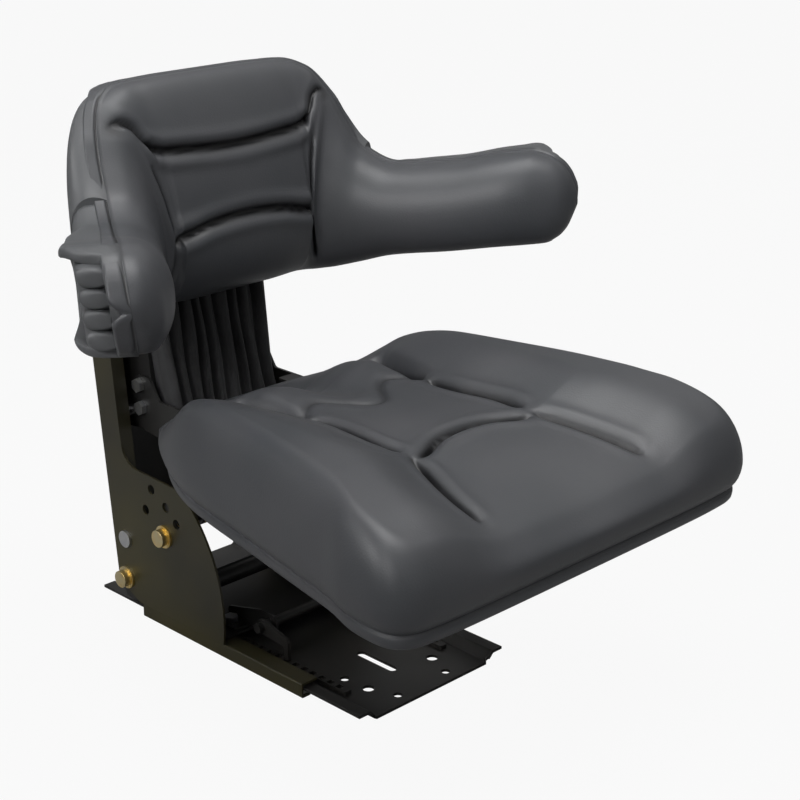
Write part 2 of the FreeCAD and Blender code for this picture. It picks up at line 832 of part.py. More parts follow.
def upper_spring_plugs():
    flange, inner = spring_plug(yoke_z - plug_flange, plug_flange)
    core = rod(inner - 0.2, (spring_x, spring_line, yoke_z - plug_height), (spring_x, spring_line, yoke_z))
    plug = leaned(join([flange, core]))
    return Part.makeCompound([plug, mirrored(plug)])


def spring_yoke():
    """Cross bar that the adjuster spindle raises to tighten the springs."""
    ends = rectangle(-spring_x - 16, spring_x + 16, spring_line - 11, spring_line + 11, 9.0)
    bar = sheet_level(ends, yoke_z, yoke_z + yoke_wall)
    boss = rod(10.5, (0, spring_line, yoke_z), (0, spring_line, yoke_z + yoke_boss))
    yoke = join([bar, boss])
    bore = rod(spindle_d / 2 + running_clearance, (0, spring_line, yoke_z - 1), (0, spring_line, yoke_z + 40))
    return leaned(yoke.cut(bore))


def adjuster_spindle():
    y = spring_line
    top = top_plate_z + 3
    shaft = rod(spindle_d / 2, (0, y, damper_bracket_z + 24), (0, y, top + 26))
    collar = rod(spindle_d / 2 + 4, (0, y, top + 0.3), (0, y, top + 6))
    return leaned(join([shaft, collar]))


def adjuster_knob():
    """Lobed plastic hand knob."""
    foot = top_plate_z + 9
    y = spring_line
    knob = rod(knob_d / 2, (0, y, foot), (0, y, foot + knob_height))
    for index in range(7):
        angle = 2 * math.pi * index / 7
        x = (knob_d / 2 + 5) * math.cos(angle)
        flute = rod(9.0, (x, y + (knob_d / 2 + 5) * math.sin(angle), foot - 1),
                    (x, y + (knob_d / 2 + 5) * math.sin(angle), foot + knob_height + 1))
        knob = knob.cut(flute)
    knob = knob.cut(rod(spindle_d / 2, (0, y, foot - 1), (0, y, top_plate_z + 3 + 26)))
    return leaned(knob)


# Seat

cushion_outline = [
    # share of the half width, share of the length from the front
    (0.0, 0.0),
    (0.5, 0.001),
    (0.8, 0.004),
    (0.92, 0.012),
    (0.982, 0.036),
    (1.0, 0.076),
    (0.987, 0.148),
    (0.938, 0.226),
    (0.899, 0.323),
    (0.819, 0.518),
    (0.709, 0.776),
    (0.568, 0.933),
    (0.48, 0.974),
    (0.35, 0.996),
    (0.18, 1.0),
    (0.0, 1.0),
]


def cushion_ring(z, side_growth, end_growth):
    """Closed curve round the cushion at height z, grown outward at the sides and ends."""
    half = cushion_half + side_growth
    front = cushion_front_y - end_growth
    length = cushion_rear_y + end_growth - front
    halves = []
    for side in (1, -1):
        points = [Vector(side * across * half, front + along * length, z) for across, along in cushion_outline]
        curve = Part.BSplineCurve()
        curve.interpolate(points, InitialTangent=Vector(side, 0, 0), FinalTangent=Vector(-side, 0, 0))
        halves.append(curve)
    halves[1].reverse()
    return Part.Wire([curve.toShape() for curve in halves])


cushion_levels = [
    # height above the bottom, growth at the sides, growth at the ends
    (0.0, -3.0, -1.0),
    (12.0, 3.0, 2.0),
    (34.0, 9.0, 3.0),
    (56.0, 9.0, 1.0),
    (78.0, 2.0, -4.0),
    (98.0, -10.0, -16.0),
    (118.0, -34.0, -44.0),
]
seat_profile = [
    # share of the length from the front, middle and bolster height above the bottom
    (0.0, 53.0, 72.0),
    (0.031, 60.0, 82.0),
    (0.072, 67.0, 91.0),
    (0.132, 74.0, 100.0),
    (0.197, 80.0, 107.0),
    (0.278, 86.0, 112.0),
    (0.413, 90.0, 114.0),
    (0.596, 88.0, 113.0),
    (0.682, 89.0, 112.0),
    (0.753, 91.0, 109.0),
    (0.816, 85.0, 102.0),
    (0.861, 75.0, 90.0),
    (0.928, 61.0, 68.0),
    (0.969, 55.0, 60.0),
    (1.0, 50.0, 50.0),
]


def between(rows, place, column):
    """Value of a column at a place along rows that begin with their own place."""
    for low, high in zip(rows, rows[1:]):
        if place <= high[0]:
            share = max(0.0, (place - low[0]) / (high[0] - low[0]))
            return low[column] + share * (high[column] - low[column])
    return rows[-1][column]


def cushion_height(x, y):
    """Height of the seat surface: side bolsters, a dished middle and a valley at the rear."""
    along = (y - cushion_front_y) / (cushion_rear_y - cushion_front_y)
    middle = between(seat_profile, along, 1)
    bolster = between(seat_profile, along, 2)
    rise = min(max((abs(x) / cushion_half - bolster_start) / bolster_width, 0.0), 1.0)
    rise = rise * rise * (3 - 2 * rise)
    valley = valley_depth * min(max(min((along - 0.64) / 0.13, (0.97 - along) / 0.13), 0.0), 1.0)
    valley *= math.exp(-(x / valley_half) ** 2)
    return cushion_bottom_z + middle + (bolster - middle) * rise - valley


def seat_cushion():
    """Moulded cushion, hollow underneath where it sits over the pan."""
    rings = [cushion_ring(cushion_bottom_z + height, side, end) for height, side, end in cushion_levels]
    body = Part.makeLoft(rings, True, False)
    count = 21
    margin = 30.0
    half = cushion_half + margin
    length = cushion_rear_y - cushion_front_y + 2 * margin
    rows = []
    for i in range(count):
        y = cushion_front_y - margin + length * i / (count - 1)
        across = [half * (2 * j / (count - 1) - 1) for j in range(count)]
        rows.append([Vector(x, y, cushion_height(x, y)) for x in across])
    surface = Part.BSplineSurface()
    surface.interpolate(rows)
    under = surface.toShape().extrude(Vector(0, 0, -150))
    body = body.common(under)
    body = body.cut(pan_prism(cushion_bottom_z - 1, pan_top_z, pan_inset))
    return body.cut(rear_opening(pan_top_z))


def pan_prism(z_low, z_high, inset):
    outline = Part.Face(cushion_ring(z_low, -inset, -inset))
    return outline.extrude(Vector(0, 0, z_high - z_low))


def rear_opening(top_z):
    """Space under the back of the seat that the uprights pass into."""
    return box(-rear_cut_half, rear_cut_half, rear_cut_y, cushion_rear_y + 30, cushion_bottom_z - 5, top_z)


def seat_pan():
    """Inverted steel tray that carries the cushion."""
    rim_z = cushion_bottom_z + pan_rim_height
    outer = pan_prism(rim_z, pan_top_z, pan_inset)
    inner = pan_prism(rim_z - 1, pan_top_z - pan_wall, pan_inset + pan_wall)
    pan = outer.cut(inner).cut(rear_opening(pan_top_z - pan_wall))
    for y in pan_bolt_places:
        for side in (-1, 1):
            x = side * pan_bolt_x
            pan = pan.cut(rod(small_bolt_d / 2, (x, y, pan_top_z - pan_wall - 1), (x, y, pan_top_z - 0.5)))
    return pan


def seat_arm(side):
    """Pressed angle from the carriage side forward under the pan."""
    top = pan_top_z - pan_wall
    web = [
        (arm_front_y, top, 0.0),
        (arm_front_y, top - 16, 8.0),
        (60, cushion_bottom_z + 2, 30.0),
        (144, cushion_bottom_z + 10, 12.0),
        (154, top + 22, 12.0),
        (126, top + 22, 10.0),
        (112, top, 6.0),
    ]
    plate = sheet_across(web, carriage_half, carriage_half + arm_wall)
    flange = sheet_level(rectangle(carriage_half + arm_wall - arm_flange, carriage_half + arm_wall, arm_front_y, 84, 2.0),
                         top - arm_wall, top)
    arm = join([plate, flange])
    for y in pan_bolt_places:
        arm = arm.cut(rod(small_bolt_d / 2 + hole_clearance, (pan_bolt_x, y, top - 10), (pan_bolt_x, y, top + 1)))
    for y, z in arm_bolt_places():
        arm = arm.cut(rod(small_bolt_d / 2 + hole_clearance, (carriage_half - 1, y, z), (carriage_half + 9, y, z)))
    return on_side(side, arm)


def arm_bolt_places():
    """Places (y, z) of the bolts that join the seat arms to the carriage."""
    line = carriage_front + 16
    return [leaned_point(line, carriage_bottom + 24), leaned_point(line, carriage_bottom + 48)]


def cross_bolt(y, z, outer, inner):
    """Bolt along X from its head at outer in to its nut at inner."""
    head = hexagon(small_head_flats, small_head_height, (outer, y, z), (1, 0, 0))
    shank = rod(small_bolt_d / 2, (inner - small_head_height - 2, y, z), (outer, y, z))
    nut = hexagon(small_head_flats, small_head_height, (inner, y, z), (-1, 0, 0))
    return join([head, shank, nut])


def arm_bolts():
    bolts = []
    for y, z in arm_bolt_places():
        bolt = cross_bolt(y, z, carriage_half + arm_wall, carriage_half - carriage_wall)
        bolts += [bolt, mirrored(bolt)]
    return Part.makeCompound(bolts)


def pan_bolts():
    bolts = []
    top = pan_top_z - pan_wall - arm_wall
    for y in pan_bolt_places:
        for side in (-1, 1):
            x = side * pan_bolt_x
            head = hexagon(small_head_flats, small_head_height, (x, y, top), (0, 0, -1))
            shank = rod(small_bolt_d / 2, (x, y, top), (x, y, pan_top_z - 0.5))
            bolts.append(join([head, shank]))
    return Part.makeCompound(bolts)


def boot():
    """Pleated cover in front of the carriage."""
    pitch = 2 * boot_half / boot_pleats
    edges = []
    for index in range(boot_pleats):
        left = -boot_half + pitch * index
        ends = Vector(left, 0, 0), Vector(left + pitch, 0, 0)
        edges.append(Part.Arc(ends[0], Vector(left + pitch / 2, -boot_pleat_depth, 0), ends[1]).toShape())
    depth = 40.0
    edges.append(Part.makeLine(Vector(boot_half, 0, 0), Vector(boot_half, depth, 0)))
    edges.append(Part.makeLine(Vector(boot_half, depth, 0), Vector(-boot_half, depth, 0)))
    edges.append(Part.makeLine(Vector(-boot_half, depth, 0), Vector(-boot_half, 0, 0)))
    low = (boot_bottom - boot_front_z) * 1.1
    high = (boot_top - boot_front_z) * 1.1
    block = Part.Face(Part.Wire(edges)).extrude(Vector(0, 0, high - low))
    block.translate(Vector(0, boot_pleat_depth, low))
    block.rotate(Vector(0, 0, 0), Vector(1, 0, 0), -boot_lean_deg)
    block.translate(Vector(0, boot_front_y, boot_front_z))
    block = block.common(box(-100, 100, 0, 300, boot_bottom, boot_top))
    behind = leaned(box(-100, 100, carriage_front, 300, 100, 400))
    return block.cut(behind)


# Backrest

backrest_sections = [
    # distance along the seam, bottom, top, pad depth
    (0.0, 340.0, 560.0, 62.0),
    (45.0, 341.0, 560.0, 62.0),
    (81.0, 344.0, 559.0, 60.0),
    (104.0, 346.0, 556.0, 57.0),
    (127.0, 347.0, 544.0, 52.0),
    (151.0, 348.0, 512.0, 46.0),
    (165.0, 350.0, 491.0, 44.0),
    (185.0, 354.0, 468.0, 42.0),
    (219.0, 362.0, 455.0, 42.0),
    (279.0, 368.0, 460.0, 42.0),
    (330.0, 374.0, 467.0, 42.0),
    (370.0, 379.0, 471.0, 40.0),
    (389.0, 385.0, 466.0, 34.0),
    (399.0, 396.0, 456.0, 25.0),
    (404.0, 412.0, 441.0, 13.0),
]


def seam_place(distance):
    """Point on the seam and the inward direction there, for a distance left of the middle."""
    if distance < 0:
        point, inward = seam_place(-distance)
        return Vector(-point.x, point.y, 0), Vector(-inward.x, inward.y, 0)
    turn_length = seam_bend_radius * math.radians(90 - arm_splay_deg)
    bend_y = seam_y - seam_bend_radius
    if distance <= seam_straight_half:
        return Vector(distance, seam_y, 0), Vector(0, -1, 0)
    run = min(distance - seam_straight_half, turn_length)
    angle = run / seam_bend_radius
    outward = Vector(math.sin(angle), math.cos(angle), 0)
    point = Vector(seam_straight_half, bend_y, 0) + outward * seam_bend_radius
    rest = distance - seam_straight_half - run
    forward = Vector(math.cos(angle), -math.sin(angle), 0)
    return point + forward * rest, outward * -1


def section_lean(distance):
    """Outward lean of the section, growing from none at the back to the arms' lean."""
    share = min(max((abs(distance) - seam_straight_half) / 80.0, 0.0), 1.0)
    return math.tan(math.radians(arm_lean_deg)) * share


def band_point(distance, depth, z):
    point, inward = seam_place(distance)
    offset = depth - section_lean(distance) * (z - arm_lean_z)
    place = point + inward * offset
    return Vector(place.x, place.y, z)


def band_section(distance, bottom, top, depth, roundness, skew):
    """D-shaped section: flat beside the seam and bulging by depth, square where roundness is low."""
    clear = seam_gap / 2
    points = []
    for step in range(9):
        turn = math.pi * (step / 8 - 0.5)
        bulge = depth * math.cos(turn) ** roundness * (1 - skew * math.sin(turn))
        z = (bottom + top) / 2 + (top - bottom) / 2 * math.sin(turn)
        points.append(band_point(distance, clear + bulge if depth > 0 else bulge - clear, z))
    curve = Part.BSplineCurve()
    curve.interpolate(points)
    flat = Part.makeLine(points[-1], points[0])
    return Part.Wire([curve.toShape(), flat])


def arm_share(distance):
    return min(max((abs(distance) - seam_straight_half) / 100.0, 0.0), 1.0)


def pad_wire(section):
    distance, bottom, top, depth = section
    skew = 0.42 * (1 - arm_share(distance))
    return band_section(distance, bottom, top, depth, 0.7, skew)


def shell_run(distance):
    """Share of the way along an arm shell, none at its start and one at its end."""
    run = (abs(distance) - arm_shell_start) / (arm_shell_end - arm_shell_start)
    return min(max(run, 0.0), 1.0)


def shell_reach(distance):
    """Depth of the shell behind the seam: even at the back, deepest at the arms' ends."""
    share = arm_share(distance)
    reach = shell_depth * (1 - share) + arm_shell_depth * share
    return reach + (arm_tip_depth - arm_shell_depth) * shell_run(distance)


def shell_wire(section):
    distance, bottom, top, depth = section
    bottom, top = bottom + 2, top - 2
    if abs(distance) > 370:
        bottom, top = 382.0, 469.0
    roundness = back_roundness + (arm_roundness - back_roundness) * shell_run(distance)
    return band_section(distance, bottom, top, -shell_reach(distance), roundness, 0.0)


def halfway(before, near, far, after):
    """Section between two listed ones, on the smooth line through their neighbours."""
    return tuple((9 * (n + f) - b - a) / 16 for b, n, f, a in zip(before, near, far, after))


def band_sections():
    """Listed sections with one more in each gap of the bends, from the right arm to the left."""
    listed = backrest_sections
    left = list(listed[:2])
    for index in range(2, len(listed)):
        if listed[index][0] <= arm_shell_start:
            left.append(halfway(*listed[index - 2:index + 2]))
        left.append(listed[index])
    right = [(-section[0],) + section[1:] for section in reversed(left[1:])]
    return right + left


def backrest_pad():
    """Cover and foam of the backrest and both arms."""
    return Part.makeLoft([pad_wire(section) for section in band_sections()], True, False)


def whole_shell():
    """Backrest shell and both arm shells in one, before they are parted."""
    return Part.makeLoft([shell_wire(section) for section in band_sections()], True, False)


def seam_block(start, end):
    """Block across the left arm between two distances along the seam."""
    point, inward = seam_place(start)
    block = box(-200, 200, 0, end - start, 200, 700)
    block.rotate(Vector(0, 0, 0), Vector(0, 0, 1), arm_splay_deg - 180)
    block.translate(Vector(point.x, point.y, 0))
    return block


def backrest_shell():
    """Moulded back, ending where the arm shells begin."""
    beyond = seam_block(arm_shell_start, arm_shell_start + 300)
    shell = whole_shell().cut(beyond).cut(mirrored(beyond))
    for x, z in backrest_bolt_places():
        boss = rod(15.0, (x, seam_y + 8, z), (x, seam_y + shell_depth + 0.2, z))
        shell = shell.fuse(boss)
    shell = shell.removeSplitter()
    for x, z in backrest_bolt_places():
        shell = shell.cut(rod(small_bolt_d / 2, (x, seam_y + shell_depth - 11.8, z), (x, seam_y + shell_depth + 1, z)))
    return shell


def arm_height(distance):
    """Bottom and top of an arm at a distance along the seam, between the given sections."""
    for near, far in zip(backrest_sections, backrest_sections[1:]):
        if near[0] <= distance <= far[0]:
            share = (distance - near[0]) / (far[0] - near[0])
            return near[1] + share * (far[1] - near[1]), near[2] + share * (far[2] - near[2])
    return backrest_sections[-1][1:3]


def recess_wire(distance, shelf):
    """Four-sided section of the hollow between the two flanges of an arm shell."""
    bottom, top = arm_height(min(distance, 370.0))
    corners = []
    beyond = -arm_tip_depth - 20
    for depth, z in ((-grip_web, bottom + shelf), (-grip_web, top - shelf),
                     (beyond, top - shelf), (beyond, bottom + shelf)):
        corners.append(band_point(distance, depth, z))
    return Part.makePolygon(corners + [corners[0]])


def arm_shell(side):
    """Moulded outer half of an arm: flanges above and below a sunk web with finger ribs."""
    body = whole_shell().common(seam_block(arm_shell_start + shell_gap, arm_shell_end))
    places = [grip_start, 279.0, 330.0, 370.0, arm_shell_end + 5]
    recess = Part.makeLoft([recess_wire(distance, grip_flange) for distance in places], True, True)
    body = body.cut(recess)
    for index in range(grip_rib_count):
        body = body.fuse(grip_rib(index))
    return on_side(side, body.removeSplitter())


def grip_rib(index):
    """One finger rib, standing on the sunk web with a rounded outer edge."""
    end = arm_shell_end - 5
    shift = (index - (grip_rib_count - 1) / 2) * grip_rib_pitch
    crest = grip_rib_depth - grip_rib_d / 2
    ends = []
    feet = []
    for distance in (end - grip_rib_length, end):
        bottom, top = arm_height(min(distance, 370.0))
        z = (bottom + top) / 2 + shift
        ends.append(tuple(band_point(distance, -crest, z)))
        low = band_point(distance, -grip_web + 2, z - grip_rib_d / 2)
        high = band_point(distance, -grip_web + 2, z + grip_rib_d / 2)
        outer_high = band_point(distance, -crest, z + grip_rib_d / 2)
        outer_low = band_point(distance, -crest, z - grip_rib_d / 2)
        feet.append(Part.makePolygon([low, high, outer_high, outer_low, low]))
    foot = Part.makeLoft(feet, True, True)
    return rod(grip_rib_d / 2, ends[0], ends[1]).fuse(foot)


def backrest_bracket():
    """Steel bracket from the carriage up behind the backrest shell."""
    plate_y = seam_y + shell_depth + 0.2
    inner = carriage_half - carriage_wall
    plate = sheet_facing(rectangle(-inner, inner, bracket_bottom_z + 54, bracket_top_z, 12.0),
                         plate_y, plate_y + bracket_wall)
    window = sheet_facing(rectangle(-26, 26, bracket_bottom_z + 74, bracket_top_z - 30, 10.0),
                          plate_y - 1, plate_y + bracket_wall + 1)
    cheek = [
        (plate_y + bracket_wall, bracket_bottom_z + 76, 0.0),
        (plate_y, bracket_bottom_z + 76, 0.0),
        (plate_y, bracket_bottom_z + 56, 4.0),
        (plate_y - 10, bracket_bottom_z + 40, 6.0),
        (plate_y - 14, bracket_bottom_z, 6.0),
        (plate_y + bracket_wall, bracket_bottom_z, 8.0),
    ]
    sheet = sheet_across(cheek, inner - bracket_wall, inner)
    bracket = join([plate.cut(window), sheet, mirrored(sheet)])
    radius = small_bolt_d / 2 + hole_clearance
    for x, z in backrest_bolt_places():
        bracket = bracket.cut(rod(radius, (x, plate_y - 1, z), (x, plate_y + 9, z)))
    for y, z in bracket_bolt_places():
        bracket = bracket.cut(rod(radius, (-inner - 1, y, z), (inner + 1, y, z)))
    return bracket


def bracket_bolt_places():
    """Places (y, z) of the bolts that join the backrest bracket to the carriage."""
    y = seam_y + shell_depth - 4.0
    return [(y, bracket_bottom_z + 11), (y, bracket_bottom_z + 34)]


def bracket_bolts():
    bolts = []
    for y, z in bracket_bolt_places():
        bolt = cross_bolt(y, z, carriage_half, carriage_half - carriage_wall - bracket_wall)
        bolts += [bolt, mirrored(bolt)]
    return Part.makeCompound(bolts)


def backrest_bolt_places():
    return [(-46.0, 385.0), (46.0, 385.0), (-46.0, 465.0), (46.0, 465.0)]


def backrest_bolts():
    face = seam_y + shell_depth + 0.2 + bracket_wall
    bolts = []
    for x, z in backrest_bolt_places():
        head = hexagon(small_head_flats, small_head_height, (x, face, z), (0, 1, 0))
        shank = rod(small_bolt_d / 2, (x, face - bracket_wall - 12, z), (x, face, z))
        bolts.append(join([head, shank]))
    return Part.makeCompound(bolts)


nodes = {
    "base_plate": base_plate,
    "lock_racks": lock_racks,
    "slide_rail_left": lambda: slide_rail("left"),
    "slide_rail_right": lambda: slide_rail("right"),
    "glide_pads_left": lambda: glide_pads("left"),
    "glide_pads_right": lambda: glide_pads("right"),
    "tilt_carrier": tilt_carrier,
    "carrier_nuts": carrier_nuts,
    "tie_tube": tie_tube,
    "lever_brackets": lever_brackets,
    "lever_bracket_bolts": lever_bracket_bolts,
    "slide_lever": slide_lever,
    "lever_grip": lever_grip,
    "side_plate_left": lambda: side_plate("left"),
    "side_plate_right": lambda: side_plate("right"),
    "tilt_bolts": tilt_bolts,
    "tilt_washers": tilt_washers,
    "tilt_nuts": tilt_nuts,
    "rear_cover": rear_cover,
    "cover_screws": cover_screws,
    "column_top_plate": column_top_plate,
    "damper_pin": damper_pin,
    "damper_spacers": damper_spacers,
    "damper_body": damper_body,
    "damper_rod": damper_rod,
    "carriage_frame": carriage_frame,
    "roller_axles": roller_axles,
    "roller_low_left": lambda: guide_roller("left", roller_low),
    "roller_low_right": lambda: guide_roller("right", roller_low),
    "roller_high_left": lambda: guide_roller("left", roller_high),
    "roller_high_right": lambda: guide_roller("right", roller_high),
    "spring_left": lambda: spring("left"),
    "spring_right": lambda: spring("right"),
    "lower_spring_plugs": lower_spring_plugs,
    "upper_spring_plugs": upper_spring_plugs,
    "spring_yoke": spring_yoke,
    "adjuster_spindle": adjuster_spindle,
    "adjuster_knob": adjuster_knob,
    "seat_arm_left": lambda: seat_arm("left"),
    "seat_arm_right": lambda: seat_arm("right"),
    "arm_bolts": arm_bolts,
    "pan_bolts": pan_bolts,
    "seat_pan": seat_pan,
    "seat_cushion": seat_cushion,
    "boot": boot,
    "backrest_bracket": backrest_bracket,
    "bracket_bolts": bracket_bolts,
    "backrest_bolts": backrest_bolts,
    "backrest_shell": backrest_shell,
    "backrest_pad": backrest_pad,
    "arm_shell_left": lambda: arm_shell("left"),
    "arm_shell_right": lambda: arm_shell("right"),
}

os.makedirs("parts", exist_ok=True)
for name, make in nodes.items():
    shape = make()
    shape.exportStep("parts/" + name + ".step")
    print(name, "solids", len(shape.Solids), "valid", shape.isValid(), "volume", round(shape.Volume))
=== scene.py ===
import bmesh
import bpy
import json
import math
import numpy as np
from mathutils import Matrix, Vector


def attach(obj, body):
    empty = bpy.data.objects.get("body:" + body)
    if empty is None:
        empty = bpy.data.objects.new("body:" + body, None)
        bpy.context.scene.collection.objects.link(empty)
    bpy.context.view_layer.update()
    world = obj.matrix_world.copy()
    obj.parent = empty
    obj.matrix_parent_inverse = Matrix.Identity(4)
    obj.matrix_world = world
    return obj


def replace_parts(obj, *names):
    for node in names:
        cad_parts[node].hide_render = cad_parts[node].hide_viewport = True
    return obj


# Tractor suspension seat: materials for the carried solids, the padded covers, the arm shells,
# the pleated boot, and the floor, light and camera.
# Sizes are millimetres until mesh_piece turns them into metres. The seat faces -Y.

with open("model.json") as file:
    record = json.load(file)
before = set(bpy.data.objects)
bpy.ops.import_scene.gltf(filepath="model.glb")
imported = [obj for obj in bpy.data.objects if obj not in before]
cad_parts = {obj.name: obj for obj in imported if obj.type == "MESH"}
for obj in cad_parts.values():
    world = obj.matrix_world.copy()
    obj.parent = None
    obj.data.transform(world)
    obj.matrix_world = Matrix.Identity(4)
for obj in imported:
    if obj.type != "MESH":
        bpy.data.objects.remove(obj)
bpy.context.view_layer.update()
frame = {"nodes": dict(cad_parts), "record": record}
MM = 0.001


# Helpers: numbers

def part_way(value, start, end):
    """How far value has gone from start to end, from 0 to 1."""
    return np.clip((value - start) / (end - start), 0, 1)


def eased(share):
    return share * share * (3 - 2 * share)


def bell(distance, width):
    return np.exp(-(distance / width) ** 2)


def curve_through(x, xs, ys):
    """Smooth curve through (xs, ys) that doesn't overshoot, read at x."""
    xs, ys = np.asarray(xs, float), np.asarray(ys, float)
    h = np.diff(xs)
    slope = np.diff(ys) / h
    tangent = np.zeros_like(ys)
    tangent[0], tangent[-1] = slope[0], slope[-1]
    same = slope[:-1] * slope[1:] > 0
    before, after = h[:-1], h[1:]
    slope_before = np.where(same, slope[:-1], 1)
    slope_after = np.where(same, slope[1:], 1)
    weights = (2 * after + before) / slope_before + (after + 2 * before) / slope_after
    tangent[1:-1] = np.where(same, 3 * (before + after) / weights, 0)
    x = np.clip(np.asarray(x, float), xs[0], xs[-1])
    k = np.clip(np.searchsorted(xs, x) - 1, 0, len(xs) - 2)
    t = (x - xs[k]) / h[k]
    return ((2 * t**3 - 3 * t**2 + 1) * ys[k] + (t**3 - 2 * t**2 + t) * h[k] * tangent[k]
            + (-2 * t**3 + 3 * t**2) * ys[k + 1] + (t**3 - t**2) * h[k] * tangent[k + 1])


def smooth_line(points, count):
    """Even points on a Catmull-Rom curve through the given ones."""
    steps_per_span = 24
    given = np.asarray(points, float)
    given = np.vstack([2 * given[0] - given[1], given, 2 * given[-1] - given[-2]])
    curve = []
    for i in range(1, len(given) - 2):
        before, start, end, after = given[i - 1:i + 3]
        t = np.linspace(0, 1, steps_per_span, endpoint=i == len(given) - 3)[:, None]
        curve.append(0.5 * (2 * start + (end - before) * t
                            + (2 * before - 5 * start + 4 * end - after) * t**2
                            + (3 * start - before - 3 * end + after) * t**3))
    curve = np.vstack(curve)
    run = np.concatenate([[0], np.cumsum(np.linalg.norm(np.diff(curve, axis=0), axis=1))])
    even = np.linspace(0, run[-1], count)
    return np.stack([np.interp(even, run, axis) for axis in curve.T], 1)


def near_line(u, v, line):
    """Distance from each (u, v) to the line and the share of the way along it."""
    best = np.full(u.shape, 1e9)
    share = np.zeros(u.shape)
    count = len(line) - 1
    for k in range(count):
        a, d = line[k], line[k + 1] - line[k]
        t = np.clip(((u - a[0]) * d[0] + (v - a[1]) * d[1]) / (d @ d), 0, 1)
        away = np.hypot(u - a[0] - t * d[0], v - a[1] - t * d[1])
        closer = away < best
        best = np.where(closer, away, best)
        share = np.where(closer, (k + t) / count, share)
    return best, share


def channel(u, v, points, depth, width, lip, ends):
    """Height change of a sewn channel along points: a narrow groove between soft lips.

    ends is the share of its length over which the channel fades at each end.
    """
    away, share = near_line(u, v, smooth_line(points, 60))
    fade = np.clip(np.minimum(share, 1 - share) / ends, 0, 1) if ends else 1.0
    fade = 0.15 + 0.85 * np.asarray(fade) ** 0.7
    groove = -depth * bell(away, width)
    soft = -0.45 * depth * bell(away, 3.6 * width)
    rise = lip * bell(away - 4.2 * width, 2.4 * width)
    return (groove + soft + rise) * fade


def sewn_channels(rows, u, v):
    """Sum of the channels in rows; a mirrored one is laid out for the positive side only."""
    total = 0.0
    for mirrored, points, depth, width, lip, ends in rows:
        total = total + channel(np.abs(u) if mirrored else u, v, points, depth, width, lip, ends)
    return total


def painted_channel_shade(sewn):
    """How much painted shade a point gets from how deep in a channel it is, from 0 to 1."""
    return np.clip(-sewn / 5.5, 0, 1)


# Helpers: meshes

def mesh_piece(name, points, faces, material, seam=None):
    """Smooth shaded object from points in millimetres; seam is the painted shade of each point, from how
    deep in a channel it is.
    """
    merge_distance = 0.02 * MM
    mesh = bpy.data.meshes.new(name)
    mesh.from_pydata([tuple(p) for p in np.asarray(points, float) * MM], [], faces)
    mesh.validate()
    # The seam attribute holds painted shade for the channels, which the vinyl material darkens the colour
    # by.
    depth = mesh.attributes.new("seam", "FLOAT", "POINT")
    if seam is not None:
        depth.data.foreach_set("value", np.asarray(seam, np.float32))
    mesh.update()
    for polygon in mesh.polygons:
        polygon.use_smooth = True
    piece = bpy.data.objects.new(name, mesh)
    bpy.context.scene.collection.objects.link(piece)
    mesh.materials.append(material)
    work = bmesh.new()
    work.from_mesh(mesh)
    bmesh.ops.remove_doubles(work, verts=work.verts, dist=merge_distance)
    bmesh.ops.recalc_face_normals(work, faces=work.faces)
    work.to_mesh(mesh)
    work.free()
    mesh.update()
    return piece


def ring_faces(rows, count):
    """Faces between neighbouring closed rings of count points."""
    faces = []
    for i in range(rows - 1):
        for j in range(count):
            a = i * count + j
            b = i * count + (j + 1) % count
            faces.append((a, b, b + count, a + count))
    return faces


def closed_tube(rings):
    """Points and faces of a tube through rings of points, with a flat cap at each end."""
    points = np.stack(rings)
    rows, count = points.shape[:2]
    faces = ring_faces(rows, count)
    faces.append(tuple(range(count)))
    faces.append(tuple((rows - 1) * count + k for k in range(count)))
    return points.reshape(-1, 3), faces


# Helpers: materials

def new_material(name):
    material = bpy.data.materials.new(name)
    material.use_nodes = True
    tree = material.node_tree
    return material, tree, tree.nodes["Principled BSDF"]


def node(tree, kind, **values):
    """New node; a value goes to the input of that name or else to the property."""
    made = tree.nodes.new(kind)
    for key, value in values.items():
        if key in made.inputs:
            made.inputs[key].default_value = value
        else:
            setattr(made, key, value)
    return made


def on_object(tree, *textures):
    """Lays the textures out in the object's own coordinates."""
    place = node(tree, "ShaderNodeTexCoord").outputs["Object"]
    for texture in textures:
        tree.links.new(place, texture.inputs["Vector"])


def colour_between(tree, source, low, high, start=0.3, end=0.7):
    """Colour between two colours, following a value."""
    ramp = node(tree, "ShaderNodeValToRGB")
    ramp.color_ramp.elements[0].position = start
    ramp.color_ramp.elements[1].position = end
    ramp.color_ramp.elements[0].color = (*low, 1)
    ramp.color_ramp.elements[1].color = (*high, 1)
    tree.links.new(source, ramp.inputs["Fac"])
    return ramp.outputs["Color"]


def roughness_between(tree, shader, source, low, high):
    span = node(tree, "ShaderNodeMapRange")
    span.inputs["To Min"].default_value = low
    span.inputs["To Max"].default_value = high
    tree.links.new(source, span.inputs["Value"])
    tree.links.new(span.outputs["Result"], shader.inputs["Roughness"])


def bump_from(tree, shader, heights):
    """Chains bumps, each (source, strength, distance in metres)."""
    last = None
    for source, strength, distance in heights:
        bump = node(tree, "ShaderNodeBump", Strength=strength, Distance=distance)
        tree.links.new(source, bump.inputs["Height"])
        if last is not None:
            tree.links.new(last, bump.inputs["Normal"])
        last = bump.outputs["Normal"]
    tree.links.new(last, shader.inputs["Normal"])


